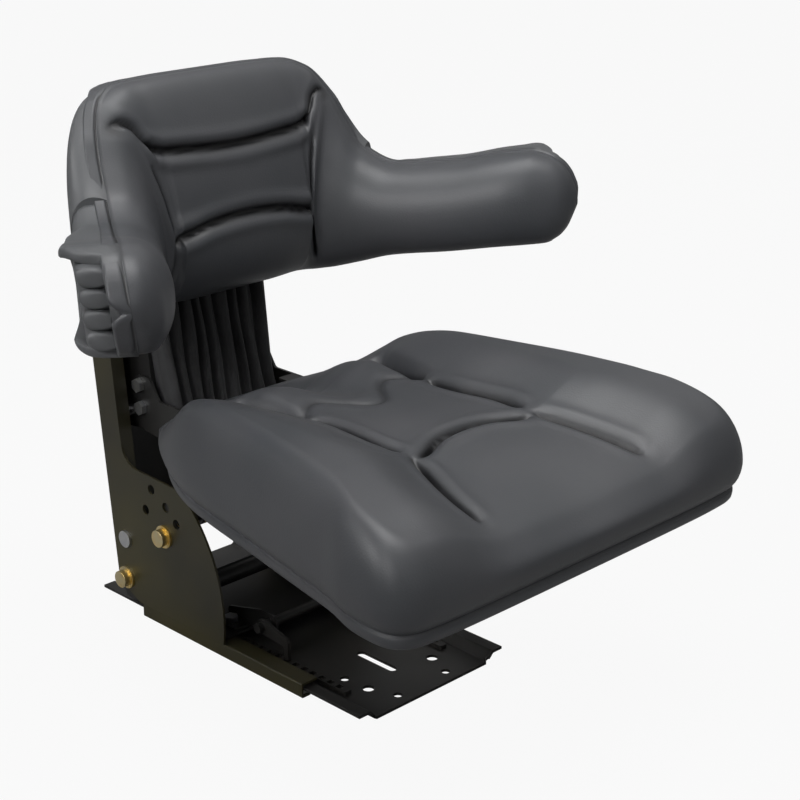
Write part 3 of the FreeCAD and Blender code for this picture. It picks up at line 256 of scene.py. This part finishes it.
def vinyl(name, colour, lighter, roughness):
    """Coated fabric: fine pebbled grain over slow colour and gloss changes, with painted shade darkening the
    colour in the channels.
    """
    material, tree, shader = new_material(name)
    cells = node(tree, "ShaderNodeTexVoronoi", Scale=620.0, feature="SMOOTH_F1")
    fine = node(tree, "ShaderNodeTexNoise", Scale=1500.0, Detail=3.0)
    slow = node(tree, "ShaderNodeTexNoise", Scale=7.0, Detail=4.0, Roughness=0.55)
    on_object(tree, cells, fine, slow)
    # Painted shade: the seam attribute mixes the colour towards near black deep in the channels, where shade
    # falls.
    seam = node(tree, "ShaderNodeAttribute", attribute_name="seam")
    shade = node(tree, "ShaderNodeMix", data_type="RGBA")
    amount, surface, groove = shade.inputs[0], shade.inputs[6], shade.inputs[7]
    # near-black colour of the painted shade in the channels
    groove.default_value = (0.006, 0.006, 0.007, 1)
    tree.links.new(seam.outputs["Fac"], amount)
    tree.links.new(colour_between(tree, slow.outputs["Fac"], colour, lighter), surface)
    tree.links.new(shade.outputs[2], shader.inputs["Base Color"])
    roughness_between(tree, shader, slow.outputs["Fac"], roughness - 0.05, roughness + 0.06)
    bump_from(tree, shader, [(cells.outputs["Distance"], 0.30, 0.0003),
                             (fine.outputs["Fac"], 0.12, 0.0002)])
    shader.inputs["Specular IOR Level"].default_value = 0.5
    shader.inputs["Coat Weight"].default_value = 0.12
    shader.inputs["Coat Roughness"].default_value = 0.32
    return material


def moulded(name, colour, lighter, roughness, grain):
    """Moulded plastic with a spark-eroded texture; grain is the strength of its bump."""
    material, tree, shader = new_material(name)
    pits = node(tree, "ShaderNodeTexNoise", Scale=1100.0, Detail=4.0, Roughness=0.7)
    slow = node(tree, "ShaderNodeTexNoise", Scale=11.0, Detail=3.0)
    on_object(tree, pits, slow)
    shade = colour_between(tree, slow.outputs["Fac"], colour, lighter)
    tree.links.new(shade, shader.inputs["Base Color"])
    roughness_between(tree, shader, pits.outputs["Fac"], roughness - 0.06, roughness + 0.06)
    bump_from(tree, shader, [(pits.outputs["Fac"], grain, 0.0003)])
    return material


def painted(name, colour, tint, roughness):
    """Satin black paint on pressed steel with faint orange peel and a slow brown cast."""
    material, tree, shader = new_material(name)
    peel = node(tree, "ShaderNodeTexNoise", Scale=420.0, Detail=2.0)
    slow = node(tree, "ShaderNodeTexNoise", Scale=5.0, Detail=3.0, Roughness=0.5)
    waves = node(tree, "ShaderNodeTexNoise", Scale=16.0, Detail=2.0)
    on_object(tree, peel, slow, waves)
    cast = colour_between(tree, slow.outputs["Fac"], colour, tint, 0.35, 0.72)
    tree.links.new(cast, shader.inputs["Base Color"])
    roughness_between(tree, shader, waves.outputs["Fac"], roughness - 0.07, roughness + 0.08)
    bump_from(tree, shader, [(peel.outputs["Fac"], 0.12, 0.0002), (waves.outputs["Fac"], 0.08, 0.0006)])
    return material


def plated(name, colour, other, roughness):
    """Plated or ground steel with a slow change of hue and fine turning marks."""
    material, tree, shader = new_material(name)
    hue = node(tree, "ShaderNodeTexNoise", Scale=55.0, Detail=2.0)
    marks = node(tree, "ShaderNodeTexNoise", Scale=900.0, Detail=3.0)
    on_object(tree, hue, marks)
    sheen = colour_between(tree, hue.outputs["Fac"], colour, other, 0.38, 0.62)
    tree.links.new(sheen, shader.inputs["Base Color"])
    roughness_between(tree, shader, marks.outputs["Fac"], roughness - 0.06, roughness + 0.08)
    bump_from(tree, shader, [(marks.outputs["Fac"], 0.08, 0.0001)])
    shader.inputs["Metallic"].default_value = 1.0
    return material


def coated_cloth(name, colour, lighter, roughness):
    """Thin coated cloth of the boot: fine weave and small creases."""
    material, tree, shader = new_material(name)
    across = node(tree, "ShaderNodeTexWave", Scale=420.0, Distortion=0.6)
    along = node(tree, "ShaderNodeTexWave", Scale=420.0, Distortion=0.6, bands_direction="Z")
    creases = node(tree, "ShaderNodeTexNoise", Scale=60.0, Detail=4.0)
    on_object(tree, across, along, creases)
    shade = colour_between(tree, creases.outputs["Fac"], colour, lighter)
    tree.links.new(shade, shader.inputs["Base Color"])
    roughness_between(tree, shader, creases.outputs["Fac"], roughness - 0.06, roughness + 0.06)
    bump_from(tree, shader, [(across.outputs["Fac"], 0.10, 0.0002), (along.outputs["Fac"], 0.10, 0.0002),
                             (creases.outputs["Fac"], 0.25, 0.0015)])
    shader.inputs["Sheen Weight"].default_value = 0.1
    return material


# Materials and edges of the carried solids

seat_vinyl = vinyl("seat_vinyl", (0.039, 0.042, 0.047), (0.055, 0.056, 0.061), 0.46)
shell_plastic = moulded("shell_plastic", (0.066, 0.069, 0.073), (0.084, 0.086, 0.090), 0.48, 0.25)
grip_plastic = moulded("grip_plastic", (0.012, 0.012, 0.013), (0.020, 0.020, 0.021), 0.55, 0.35)
acetal = moulded("acetal", (0.60, 0.60, 0.56), (0.68, 0.68, 0.64), 0.45, 0.10)
black_paint = painted("black_paint", (0.011, 0.011, 0.011), (0.018, 0.016, 0.013), 0.40)
plate_paint = painted("plate_paint", (0.020, 0.018, 0.010), (0.052, 0.044, 0.012), 0.36)
yellow_zinc = plated("yellow_zinc", (0.85, 0.62, 0.22), (0.80, 0.68, 0.42), 0.30)
bright_zinc = plated("bright_zinc", (0.60, 0.61, 0.64), (0.70, 0.70, 0.68), 0.32)
ground_steel = plated("ground_steel", (0.62, 0.62, 0.63), (0.70, 0.70, 0.70), 0.24)
spring_black = painted("spring_black", (0.020, 0.020, 0.022), (0.030, 0.028, 0.026), 0.45)
boot_cloth = coated_cloth("boot_cloth", (0.016, 0.016, 0.017), (0.026, 0.026, 0.028), 0.50)

by_slot = {
    "black_paint": black_paint,
    "zinc_yellow": yellow_zinc,
    "zinc_plain": bright_zinc,
    "steel_bright": ground_steel,
    "spring_steel": spring_black,
    "vinyl": seat_vinyl,
    "boot_cloth": boot_cloth,
    "moulded_plastic": shell_plastic,
    "slide_plastic": acetal,
    "grip_plastic": grip_plastic,
}
plate_nodes = ("side_plate_left", "side_plate_right", "slide_rail_left", "slide_rail_right")
edge_bevels = {
    "side_plate_left": 0.5, "side_plate_right": 0.5, "slide_rail_left": 0.4, "slide_rail_right": 0.4,
    "base_plate": 0.6, "tilt_carrier": 0.5, "rear_cover": 0.5,
}
for part in frame["record"]["subparts"]:
    carried = frame["nodes"][part["node"]]
    material = plate_paint if part["node"] in plate_nodes else by_slot[part["material_slot"]]
    if not carried.material_slots:
        carried.data.materials.append(material)
    for slot in carried.material_slots:
        slot.material = material
    if part["node"] in edge_bevels:
        bevel = carried.modifiers.new("edges", "BEVEL")
        bevel.width = edge_bevels[part["node"]] * MM
        bevel.segments = 2
        bevel.limit_method = "ANGLE"
        bevel.angle_limit = math.radians(40)


# Seat cushion

cushion_outline = [
    (0, -384), (70, -384), (140, -383.5), (182, -382), (209, -378.5), (223, -368), (227, -350), (224, -318),
    (213, -283), (204, -240), (186, -153), (161, -38), (129, 32), (109, 50), (79, 60), (41, 62), (0, 62),
]

# y and height along the middle and along the bolsters
cushion_middle = (
    [-400, -384, -370, -352, -325, -296, -260, -238, -200, -160, -118, -80, -48, -20, 0, 30, 48, 62],
    [238, 243, 250, 257, 264, 270, 276, 279, 280, 279, 278, 279, 281, 275, 265, 251, 245, 240],
)
cushion_side = (
    [-400, -384, -370, -352, -325, -296, -260, -200, -118, -80, -48, -20, 0, 30, 48, 62],
    [252, 262, 272, 281, 290, 297, 302, 304, 303, 302, 299, 292, 280, 258, 250, 240],
)

rear_crevice = [(90, -30), (89, -48), (84, -78), (79, -104)]
side_channel = [(77, -114), (75, -135), (75, -155), (78, -178), (81, -205), (80, -232)]
leg_channel = [(80, -246), (86, -266), (96, -296), (103, -325), (107, -352)]
front_channel = [(-72, -249), (-55, -242), (-30, -231), (0, -227), (30, -231), (55, -242), (72, -249)]
rear_channel = [(-80, -110), (-64, -93), (-45, -85), (-28, -97), (-12, -120), (0, -125), (12, -120),
                (28, -97), (45, -85), (64, -93), (80, -110)]
cushion_channels = [
    # mirrored, points, depth, width, lip, share that fades at each end
    (True, rear_crevice, 8.0, 3.0, 1.5, 0.1),
    (True, side_channel, 8.0, 2.8, 2.2, 0.12),
    (True, leg_channel, 7.0, 2.8, 2.0, 0.18),
    (False, front_channel, 7.5, 2.8, 2.0, 0.12),
    (False, rear_channel, 2.2, 3.2, 0.8, 0.1),
]
bolster_run = 82.0
valley_depth, valley_width = 15.0, 25.0
crevice_depth, crevice_width = 17.0, 12.0
leg_roll = 4.0

# growth outside the outline and height, up the wall from the rim to the widest line
cushion_wall = [
    (-9.0, 190.0), (-4.5, 189.6), (-1.2, 190.6), (0.6, 193.0), (1.4, 197.0), (1.3, 200.4), (0.2, 202.0),
    (-1.8, 203.2), (0.4, 204.6), (2.4, 206.4), (4.6, 209.5), (6.4, 213.0), (7.7, 217.0), (8.5, 221.0),
    (9.0, 225.0),
]
cushion_under = [(16.0, 190.5), (18.0, 194.0), (18.0, 234.0)]
spine_front, spine_rear = -235, -60
edge_reach = 30.0
edge_rings, inner_rings = 18, 132
opening_half, opening_front, opening_z = 119.0, 20.0, 234.0


def cushion_top(x, y):
    """Height of the moulded seat surface with its sewn channels, and the painted shade it gets from how deep
    in a channel it is.
    """
    across = np.abs(x)
    line = np.array(rear_crevice + side_channel + leg_channel, float)
    inner = np.interp(y, line[::-1, 1], line[::-1, 0])
    middle = curve_through(y, *cushion_middle)
    side = curve_through(y, *cushion_side)
    height = middle + (side - middle) * eased(part_way(across, inner - 8, inner - 8 + bolster_run))
    rear = part_way(y, -104, -42) * part_way(y, 62, -8)
    height -= valley_depth * bell(x, valley_width) * rear
    height += 3.0 * bell(across - 56, 20) * rear
    height += leg_roll * bell(across - 150, 48) * bell(y + 345, 30)
    height -= leg_roll * bell(x, 44) * bell(y + 362, 40)
    away = near_line(across, y, smooth_line(rear_crevice, 80))[0]
    height -= crevice_depth * part_way(y, -112, -52) * bell(away, crevice_width)
    sewn = sewn_channels(cushion_channels, x, y)
    return height + sewn, painted_channel_shade(sewn)


def cushion_cover():
    half = smooth_line(cushion_outline, 270)
    ring = np.vstack([half, half[-2:0:-1] * [-1, 1]])
    count = len(ring)
    ahead, behind = np.roll(ring, -1, 0), np.roll(ring, 1, 0)
    tangent = (ahead - behind) / np.linalg.norm(ahead - behind, axis=1)[:, None]
    outward = np.stack([tangent[:, 1], -tangent[:, 0]], 1)
    if (outward[0] @ [0, -1]) < 0:
        outward *= -1
    spine = np.stack([np.zeros(count), np.clip(ring[:, 1], spine_front, spine_rear)], 1)
    opening = (np.abs(ring[:, 0]) < opening_half) & (ring[:, 1] > opening_front)
    rim_z = cushion_wall[0][1] - 1

    def level(place, z):
        """A ring of points, lifted over the space that the column's side plates pass into."""
        z = np.broadcast_to(z, count)
        lifted = np.maximum(z, opening_z + 0.05 * (z - rim_z))
        return np.column_stack([place, np.where(opening, lifted, z)])

    rows = [level(ring + outward * growth, z) for growth, z in cushion_wall]
    # seam gathers each point's painted shade from the channels; the wall gets none.
    seam = [np.zeros(count) for _ in cushion_wall]
    widest_growth, widest_z = cushion_wall[-1]
    widest = ring + outward * widest_growth
    toward = spine - widest
    full = np.linalg.norm(toward, axis=1)[:, None]
    toward /= full
    for step in range(1, edge_rings + 1):
        turn = 0.5 * math.pi * step / edge_rings
        place = widest + toward * edge_reach * (1 - math.cos(turn) ** 0.95)
        crown, sewn = cushion_top(place[:, 0], place[:, 1])
        rows.append(level(place, widest_z + (crown - widest_z) * math.sin(turn) ** 0.9))
        # painted shade of the channels, fading in over the rounded edge
        seam.append(sewn * math.sin(turn))
    for step in range(1, inner_rings + 1):
        place = widest + toward * (edge_reach + (full - edge_reach) * step / inner_rings)
        crown, sewn = cushion_top(place[:, 0], place[:, 1])
        rows.append(np.column_stack([place, crown]))
        seam.append(sewn)
    faces = ring_faces(len(rows), count)
    starts = [0]
    for inset, z in cushion_under:
        starts.append(len(rows) * count)
        rows.append(level(ring - outward * inset, z))
        seam.append(np.zeros(count))
    for low, high in zip(starts, starts[1:]):
        for j in range(count):
            k = (j + 1) % count
            faces.append((low + j, high + j, high + k, low + k))
    faces.append(tuple(starts[-1] + j for j in range(count)))
    return mesh_piece("seat_cushion_cover", np.vstack(rows), faces, seat_vinyl, np.concatenate(seam))


cushion = cushion_cover()
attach(cushion, "carriage")
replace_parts(cushion, "seat_cushion")


# Backrest and arms

# The seam runs straight behind the back, bends round each side and then forward along the arm
seam_y, straight, bend, splay = 120.0, 81.0, 70.0, math.radians(33)
turn_length = bend * (math.pi / 2 - splay)
side_lean = math.tan(math.radians(6.5))
arm_start, tip_end = 185.0, 406.6

# distance along the seam, bottom, top and pad depth
band_table = np.array([
    (0, 340, 560, 62), (45, 340, 560, 62), (81, 341, 559, 60), (104, 341, 557, 57), (127, 341, 547, 52),
    (151, 343, 515, 46), (165, 346, 492, 44), (185, 351, 465, 42), (219, 360, 452, 42), (279, 367, 457, 42),
    (330, 374, 467, 40), (356, 377, 470, 36), (376, 380, 466, 30), (389, 387, 459, 25), (398, 398, 449, 18),
    (404, 413, 437, 10)], float).T
upper_channel = [(-114, 500), (-90, 497), (-60, 495), (-30, 493), (0, 492), (30, 493), (60, 495),
                 (90, 497), (114, 500)]
hook_channel = [(112, 500), (121, 505), (127, 513), (131, 522), (138, 527), (145, 524), (148, 516)]
lower_channel = [(-116, 411), (-73, 418), (-45, 424), (0, 427), (45, 424), (73, 418), (116, 411)]
wing_channel = [(131, 486), (127, 474), (122, 458), (119, 440), (117, 420)]
low_channel = [(121, 404), (124, 390), (129, 374), (135, 360)]
wing_ridge = [(143, 528), (145, 513), (143, 490), (140, 464), (134, 436), (129, 414), (132, 396), (139, 376)]
backrest_channels = [
    # mirrored, points, depth, width, lip, share that fades at each end
    (False, upper_channel, 8.0, 2.6, 2.2, 0.0),
    (True, hook_channel, 6.0, 2.4, 1.2, 0.12),
    (False, lower_channel, 8.0, 2.6, 2.2, 0.06),
    (True, wing_channel, 3.5, 2.4, 1.0, 0.2),
    (True, low_channel, 6.0, 2.6, 1.0, 0.2),
]
ridge_height, panel_sink = 2.6, 2.5

# how far the cover wraps behind the seam, by distance along it
cover_wrap = ([0, 90, 125, 230, 340, tip_end], [31, 31, 13, 12, 14, 17])

# shares of the wrap and depths of the seam's crease; the depths also set the painted shade in the crease
seam_crease = ((0.02, 0.0), (0.07, 1.6), (0.13, 2.4), (0.19, 1.6), (0.26, 0.0))
crease_wrap = 13


def seam_at(distance):
    """Place of the seam and its outward direction, at a distance along it from the middle."""
    a = np.abs(distance)
    angle = np.clip(a - straight, 0, turn_length) / bend
    rest = np.maximum(a - straight - turn_length, 0)
    ox, oy = np.sin(angle), np.cos(angle)
    x = np.minimum(a, straight) + ox * bend + np.cos(angle) * rest
    y = seam_y - bend + oy * bend - np.sin(angle) * rest
    sign = np.where(distance < 0, -1.0, 1.0)
    return x * sign, y, ox * sign, oy


def band_place(distance, depth, z):
    """Points at a depth inward of the seam; negative depth is outward."""
    x, y, ox, oy = seam_at(distance)
    offset = depth - side_lean * part_way(np.abs(distance), straight, straight + 80) * (z - 425)
    return np.stack([x - ox * offset, y - oy * offset, z + 0 * x], -1)


def band_middle_half(a):
    """Middle height and half height of the padded band."""
    bottom = curve_through(a, band_table[0], band_table[1])
    top = curve_through(a, band_table[0], band_table[2])
    return (bottom + top) / 2, (top - bottom) / 2


def shell_reach(a):
    """How far the plastic shell reaches behind the seam."""
    share = part_way(a, straight, straight + 100)
    return 30 * (1 - share) + 39 * share + 15 * part_way(a, arm_start, 393)


def backrest_relief(s, z):
    """Height change of the backrest's front and the painted shade it gets from how deep in a channel it is.
    """
    a = np.abs(s)
    sewn = sewn_channels(backrest_channels, s, z)
    away, along = near_line(a, z, smooth_line(wing_ridge, 60))
    ridge = ridge_height * bell(away, 6.0) * np.clip(np.minimum(along, 1 - along) / 0.1, 0, 1)
    inside = 0.5 - 0.5 * np.tanh((a - 124) / 12)
    panel = inside * eased(part_way(z, 424, 442) * part_way(z, 494, 476))
    return sewn + ridge - panel_sink * panel, painted_channel_shade(sewn)


def backrest_cover():
    spans = np.concatenate([np.linspace(0, 150, 76), np.linspace(153, 360, 70), np.linspace(362, 389, 14),
                            np.linspace(390.5, 404, 12), [405.6, tip_end]])
    s = np.concatenate([-spans[:0:-1], spans])
    a = np.abs(s)
    close = part_way(a, tip_end, tip_end - 2.6) ** 0.5
    middle, half = band_middle_half(a)
    half = half * close
    depth = curve_through(a, band_table[0], band_table[3]) * close
    wrap = np.interp(a, *cover_wrap) * np.maximum(close, 0.02) ** 0.7
    proud = 0.9 + 0.7 * part_way(a, 95, 120)
    crease = part_way(a, 112, 126)
    reach = shell_reach(a)
    roundness = 0.35 - 0.18 * part_way(a, arm_start, 393)
    skew = 0.42 * (1 - part_way(a, straight, straight + 100))

    def behind_seam(sign, behind, raised):
        """Points just off the shell's outer surface, above for sign 1 and below for sign -1."""
        share = np.clip(behind / reach, 0, 0.98)
        rise = np.maximum(half - 2, 0) * np.sqrt(1 - share ** (2 / roundness))
        return band_place(s, -behind, middle + sign * np.maximum(rise + raised + 1.6 * (1 - share), 0.2))

    columns = []
    # seam gathers each point's painted shade, from the channels and from the crease along the seam.
    seam = []
    front_steps = 110
    for turn in np.linspace(-math.pi / 2, math.pi / 2, front_steps + 1):
        z = middle + half * math.sin(turn)
        out = depth * math.cos(turn) ** 0.7 * (1 - skew * math.sin(turn))
        relief, sewn = backrest_relief(s, z)
        fade = min(1.0, math.cos(turn) * 2.5)
        columns.append(band_place(s, 0.3 + out + relief * fade, z))
        seam.append(sewn * fade)
    for sign in (1, -1):
        side = []
        shade = []
        for share, sink in seam_crease:
            raised = proud - sink * crease * np.minimum(1, half / 8)
            side.append(behind_seam(sign, share * np.minimum(wrap, crease_wrap), raised))
            # painted shade in the seam's crease, darker where the crease sinks deeper
            shade.append(crease * sink / 2.4)
        for share in (0.4, 0.55, 0.7, 0.86, 0.95):
            side.append(behind_seam(sign, share * wrap, proud))
        for share, raised in ((1.0, 0.2), (1.0, -3.0), (0.6, -7.0)):
            side.append(behind_seam(sign, share * wrap, raised))
        shade += [np.zeros_like(s)] * (len(side) - len(shade))
        columns += side[::sign]
        seam += shade[::sign]
    points, faces = closed_tube(np.stack(columns, 1))
    return mesh_piece("backrest_cover", points, faces, seat_vinyl, np.stack(seam, 1).ravel())


backrest = backrest_cover()
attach(backrest, "carriage")
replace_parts(backrest, "backrest_pad")


# Arm shells

shell_start, shell_end = 185.6, 402.0
round_start, round_end = 342.0, 377.0
recess_start, recess_end = 220.0, 225.0
web_depth, flange_wall = 17.0, 8.5
rib_start, rib_end, rib_round = 294.0, 389.0, 9.0
rib_count, rib_pitch, rib_radius, rib_crest = 4, 18.0, 9.0, 31.0


def shell_section(a):
    """Depth behind the seam and height of an arm shell's closed section, and its middle height."""
    middle, half = (float(value) for value in band_middle_half(np.float64(a)))
    half += 3.4 * part_way(a, 345, 365) * part_way(a, 396, 382) - 1.6
    opened = part_way(a, 212, 252)
    sunk = eased(part_way(a, recess_start, recess_end))
    corner = part_way(a, round_start, round_end)
    least = web_depth + 0.6
    reach = least + (shell_reach(min(a, round_start)) - least) * math.sqrt(1 - corner ** 2)
    web = reach + (web_depth - reach) * sunk
    cap = half + (min(flange_wall, 0.4 * half) - half) * opened
    power = 6 + 16 * opened
    section = []
    for share in (0.008, 0.3, 0.55, 0.72, 0.84, 0.9, 0.94, 0.97, 0.985, 0.995, 1.0):
        section.append((share * reach, half - cap * (1 - math.sqrt(max(0.0, 1 - share ** power)))))
    low = half - cap
    rim = reach - 1.4 * opened
    section.append((reach - 0.6 * opened, low - 0.9 * opened))
    section.append((rim, low - 1.6 * opened))
    for share in (0.66, 0.33, 0.1):
        section.append((web + (rim - web) * share, low - 1.6 * opened))
    section.append((web + 0.4 * opened, low - 2.2 * opened))
    for share in (0.85, 0.66, 0.33):
        section.append((web, low * share))
    depth, z = np.array(section + [(depth, -z) for depth, z in reversed(section)]).T
    return depth, z, middle


def finger_rib(side, shift):
    """One rounded finger rib on the sunk web."""
    bend_steps = np.linspace(0, math.pi, 13)
    foot = web_depth - 1.5
    rings = []
    for a in np.concatenate([np.linspace(rib_start, 302, 7), np.linspace(308, 376, 10),
                             np.linspace(380, rib_end, 8)]):
        end = min(part_way(a, rib_start, rib_start + rib_round), part_way(a, rib_end, rib_end - rib_round))
        grow = math.sqrt(max(0.0, 1 - (1 - end) ** 2))
        crest = web_depth + (rib_crest - web_depth) * max(grow, 0.05)
        radius = rib_radius * (0.5 + 0.5 * grow)
        depth = np.concatenate([[foot], crest + radius * grow * np.sin(bend_steps), [foot]])
        z = np.concatenate([[radius], radius * np.cos(bend_steps), [-radius]])
        middle = float(band_middle_half(np.float64(a))[0]) + shift
        rings.append(band_place(np.full(len(depth), side * a), -depth, middle + z))
    return closed_tube(rings)


def arm_shell(name, side):
    rings = []
    for a in np.concatenate([np.linspace(shell_start, 219, 14), np.linspace(recess_start, 226, 7),
                             np.linspace(230, 350, 30), np.linspace(353, 398, 34),
                             np.linspace(399, shell_end - 0.1, 14)]):
        depth, z, middle = shell_section(a)
        rings.append(band_place(np.full(len(depth), side * a), -depth, middle + z))
    points, faces = closed_tube(rings)
    for index in range(rib_count):
        rib, rib_faces = finger_rib(side, (index - (rib_count - 1) / 2) * rib_pitch)
        faces += [tuple(len(points) + k for k in face) for face in rib_faces]
        points = np.vstack([points, rib])
    piece = mesh_piece(name, points, faces, shell_plastic)
    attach(piece, "carriage")
    return piece


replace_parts(arm_shell("arm_shell_left_skin", 1), "arm_shell_left")
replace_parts(arm_shell("arm_shell_right_skin", -1), "arm_shell_right")


# Pleated boot

boot_half, boot_low, boot_high = 71.0, 207.0, 345.0
boot_front_y, boot_front_z, boot_lean = 126.5, 317.0, math.radians(10.4)
boot_back = 24.0
boot_pleats = 9


def boot_cover():
    """Folded front with uneven pleats, closed by a flat back."""
    rng = np.random.default_rng(7)
    u = np.linspace(0, 1, 325)
    edges = np.linspace(0, 1, boot_pleats + 1)
    edges[1:-1] += rng.uniform(-0.012, 0.012, boot_pleats - 1)
    depths = rng.uniform(9.0, 13.0, boot_pleats)
    leans = rng.uniform(0.35, 0.62, boot_pleats)
    rings = []
    for z in np.linspace(boot_low, boot_high, 60):
        up = (z - boot_low) / (boot_high - boot_low)
        fold = np.zeros_like(u)
        for k in range(boot_pleats):
            inside = (u >= edges[k]) & (u <= edges[k + 1])
            t = (u[inside] - edges[k]) / (edges[k + 1] - edges[k])
            peak = leans[k] + 0.06 * math.sin(3.1 * up + k)
            rise = np.where(t < peak, t / peak, (1 - t) / (1 - peak))
            fold[inside] = depths[k] * (1 - (1 - rise) ** 1.6) * (1 + 0.12 * math.sin(5 * up + 2.0 * k))
        ends = np.clip(np.minimum(u, 1 - u) / 0.03, 0, 1)
        flare = part_way(z, 232, 208) ** 2
        x = boot_half * (2 * u - 1) * (1 + 0.03 * flare) + 1.2 * np.sin(7 * up + 9 * u)
        y = boot_front_y - (boot_front_z - z) * math.tan(boot_lean) - 5 * flare
        y = y - fold * (0.35 + 0.65 * ends)
        front = np.column_stack([x, y, np.full_like(u, z)])
        rings.append(np.vstack([front, front[-1] + [0, boot_back, 0], front[0] + [0, boot_back, 0]]))
    points, faces = closed_tube(rings)
    return mesh_piece("boot_cover", points, faces, boot_cloth)


boot = boot_cover()
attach(boot, "carriage")
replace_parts(boot, "boot")


# Floor, light and camera

def studio_floor():
    """Pale floor, nearly white to the camera but with its own shadow."""
    material, tree, shader = new_material("studio_floor")
    shader.inputs["Base Color"].default_value = (0.28, 0.28, 0.28, 1)
    shader.inputs["Roughness"].default_value = 0.9
    shader.inputs["Specular IOR Level"].default_value = 0.1
    glow = node(tree, "ShaderNodeEmission", Color=(1, 1, 1, 1), Strength=1.0)
    rays = node(tree, "ShaderNodeLightPath")
    share = node(tree, "ShaderNodeMath", operation="MULTIPLY")
    share.inputs[1].default_value = 0.93
    tree.links.new(rays.outputs["Is Camera Ray"], share.inputs[0])
    mix = node(tree, "ShaderNodeMixShader")
    tree.links.new(share.outputs[0], mix.inputs["Fac"])
    tree.links.new(shader.outputs["BSDF"], mix.inputs[1])
    tree.links.new(glow.outputs["Emission"], mix.inputs[2])
    tree.links.new(mix.outputs["Shader"], tree.nodes["Material Output"].inputs["Surface"])
    mesh = bpy.data.meshes.new("floor")
    size = 14.0
    corners = [(-size, -size, 0), (size, -size, 0), (size, size, 0), (-size, size, 0)]
    mesh.from_pydata(corners, [], [(0, 1, 2, 3)])
    mesh.materials.append(material)
    floor = bpy.data.objects.new("floor", mesh)
    floor.location.z = -0.5 * MM
    bpy.context.scene.collection.objects.link(floor)
    return floor


def studio_world():
    """White to the camera; to the object a dome, dark at the horizon and light overhead."""
    world = bpy.data.worlds.new("studio")
    bpy.context.scene.world = world
    world.use_nodes = True
    sky = world.node_tree
    background = sky.nodes["Background"]
    background.inputs["Color"].default_value = (1, 1, 1, 1)
    direction = node(sky, "ShaderNodeTexCoord")
    parts = node(sky, "ShaderNodeSeparateXYZ")
    sky.links.new(direction.outputs["Generated"], parts.inputs["Vector"])
    dome = node(sky, "ShaderNodeMapRange")
    dome.inputs["From Min"].default_value = -0.1
    dome.inputs["To Min"].default_value = 0.02
    dome.inputs["To Max"].default_value = 0.62
    sky.links.new(parts.outputs["Z"], dome.inputs["Value"])
    rays = node(sky, "ShaderNodeLightPath")
    level = node(sky, "ShaderNodeMix")
    for_camera, to_object, to_camera = level.inputs[0], level.inputs[2], level.inputs[3]
    to_camera.default_value = 1.0
    sky.links.new(rays.outputs["Is Camera Ray"], for_camera)
    sky.links.new(dome.outputs["Result"], to_object)
    sky.links.new(level.outputs[0], background.inputs["Strength"])


def soft_lamp(name, place, target, power, size, spread=180):
    """Square area lamp; places and size in metres, power in watts, spread in degrees."""
    lamp = bpy.data.lights.new(name, "AREA")
    lamp.energy = power
    lamp.spread = math.radians(spread)
    lamp.size = size
    holder = bpy.data.objects.new(name, lamp)
    bpy.context.scene.collection.objects.link(holder)
    holder.location = place
    aim = Vector(target) - Vector(place)
    holder.rotation_euler = aim.to_track_quat("-Z", "Y").to_euler()


studio_floor()
studio_world()
soft_lamp("top", (-0.1, -0.3, 2.5), (0, -0.1, 0.3), 38, 1.6)
soft_lamp("right", (2.2, 0.3, 2.0), (0, -0.1, 0.3), 1.5, 1.2)
soft_lamp("left", (-2.2, -1.0, 1.75), (0.05, 0.0, 0.55), 1.2, 0.9, 36)
soft_lamp("side", (-2.3, 0.7, 1.45), (-0.1, 0.1, 0.52), 1.8, 0.9, 36)
soft_lamp("front", (-0.6, -2.6, 2.0), (0, 0, 0.3), 2, 1.6)

camera_data = bpy.data.cameras.new("camera")
camera_data.lens = 80.685
camera_data.sensor_width = 36.0
camera = bpy.data.objects.new("camera", camera_data)
bpy.context.scene.collection.objects.link(camera)
camera.location = (-1.1016, -1.2535, 0.850)
camera.rotation_euler = (math.radians(70.1), 0, math.radians(-45))
bpy.context.scene.camera = camera
bpy.context.scene.view_settings.view_transform = "Standard"
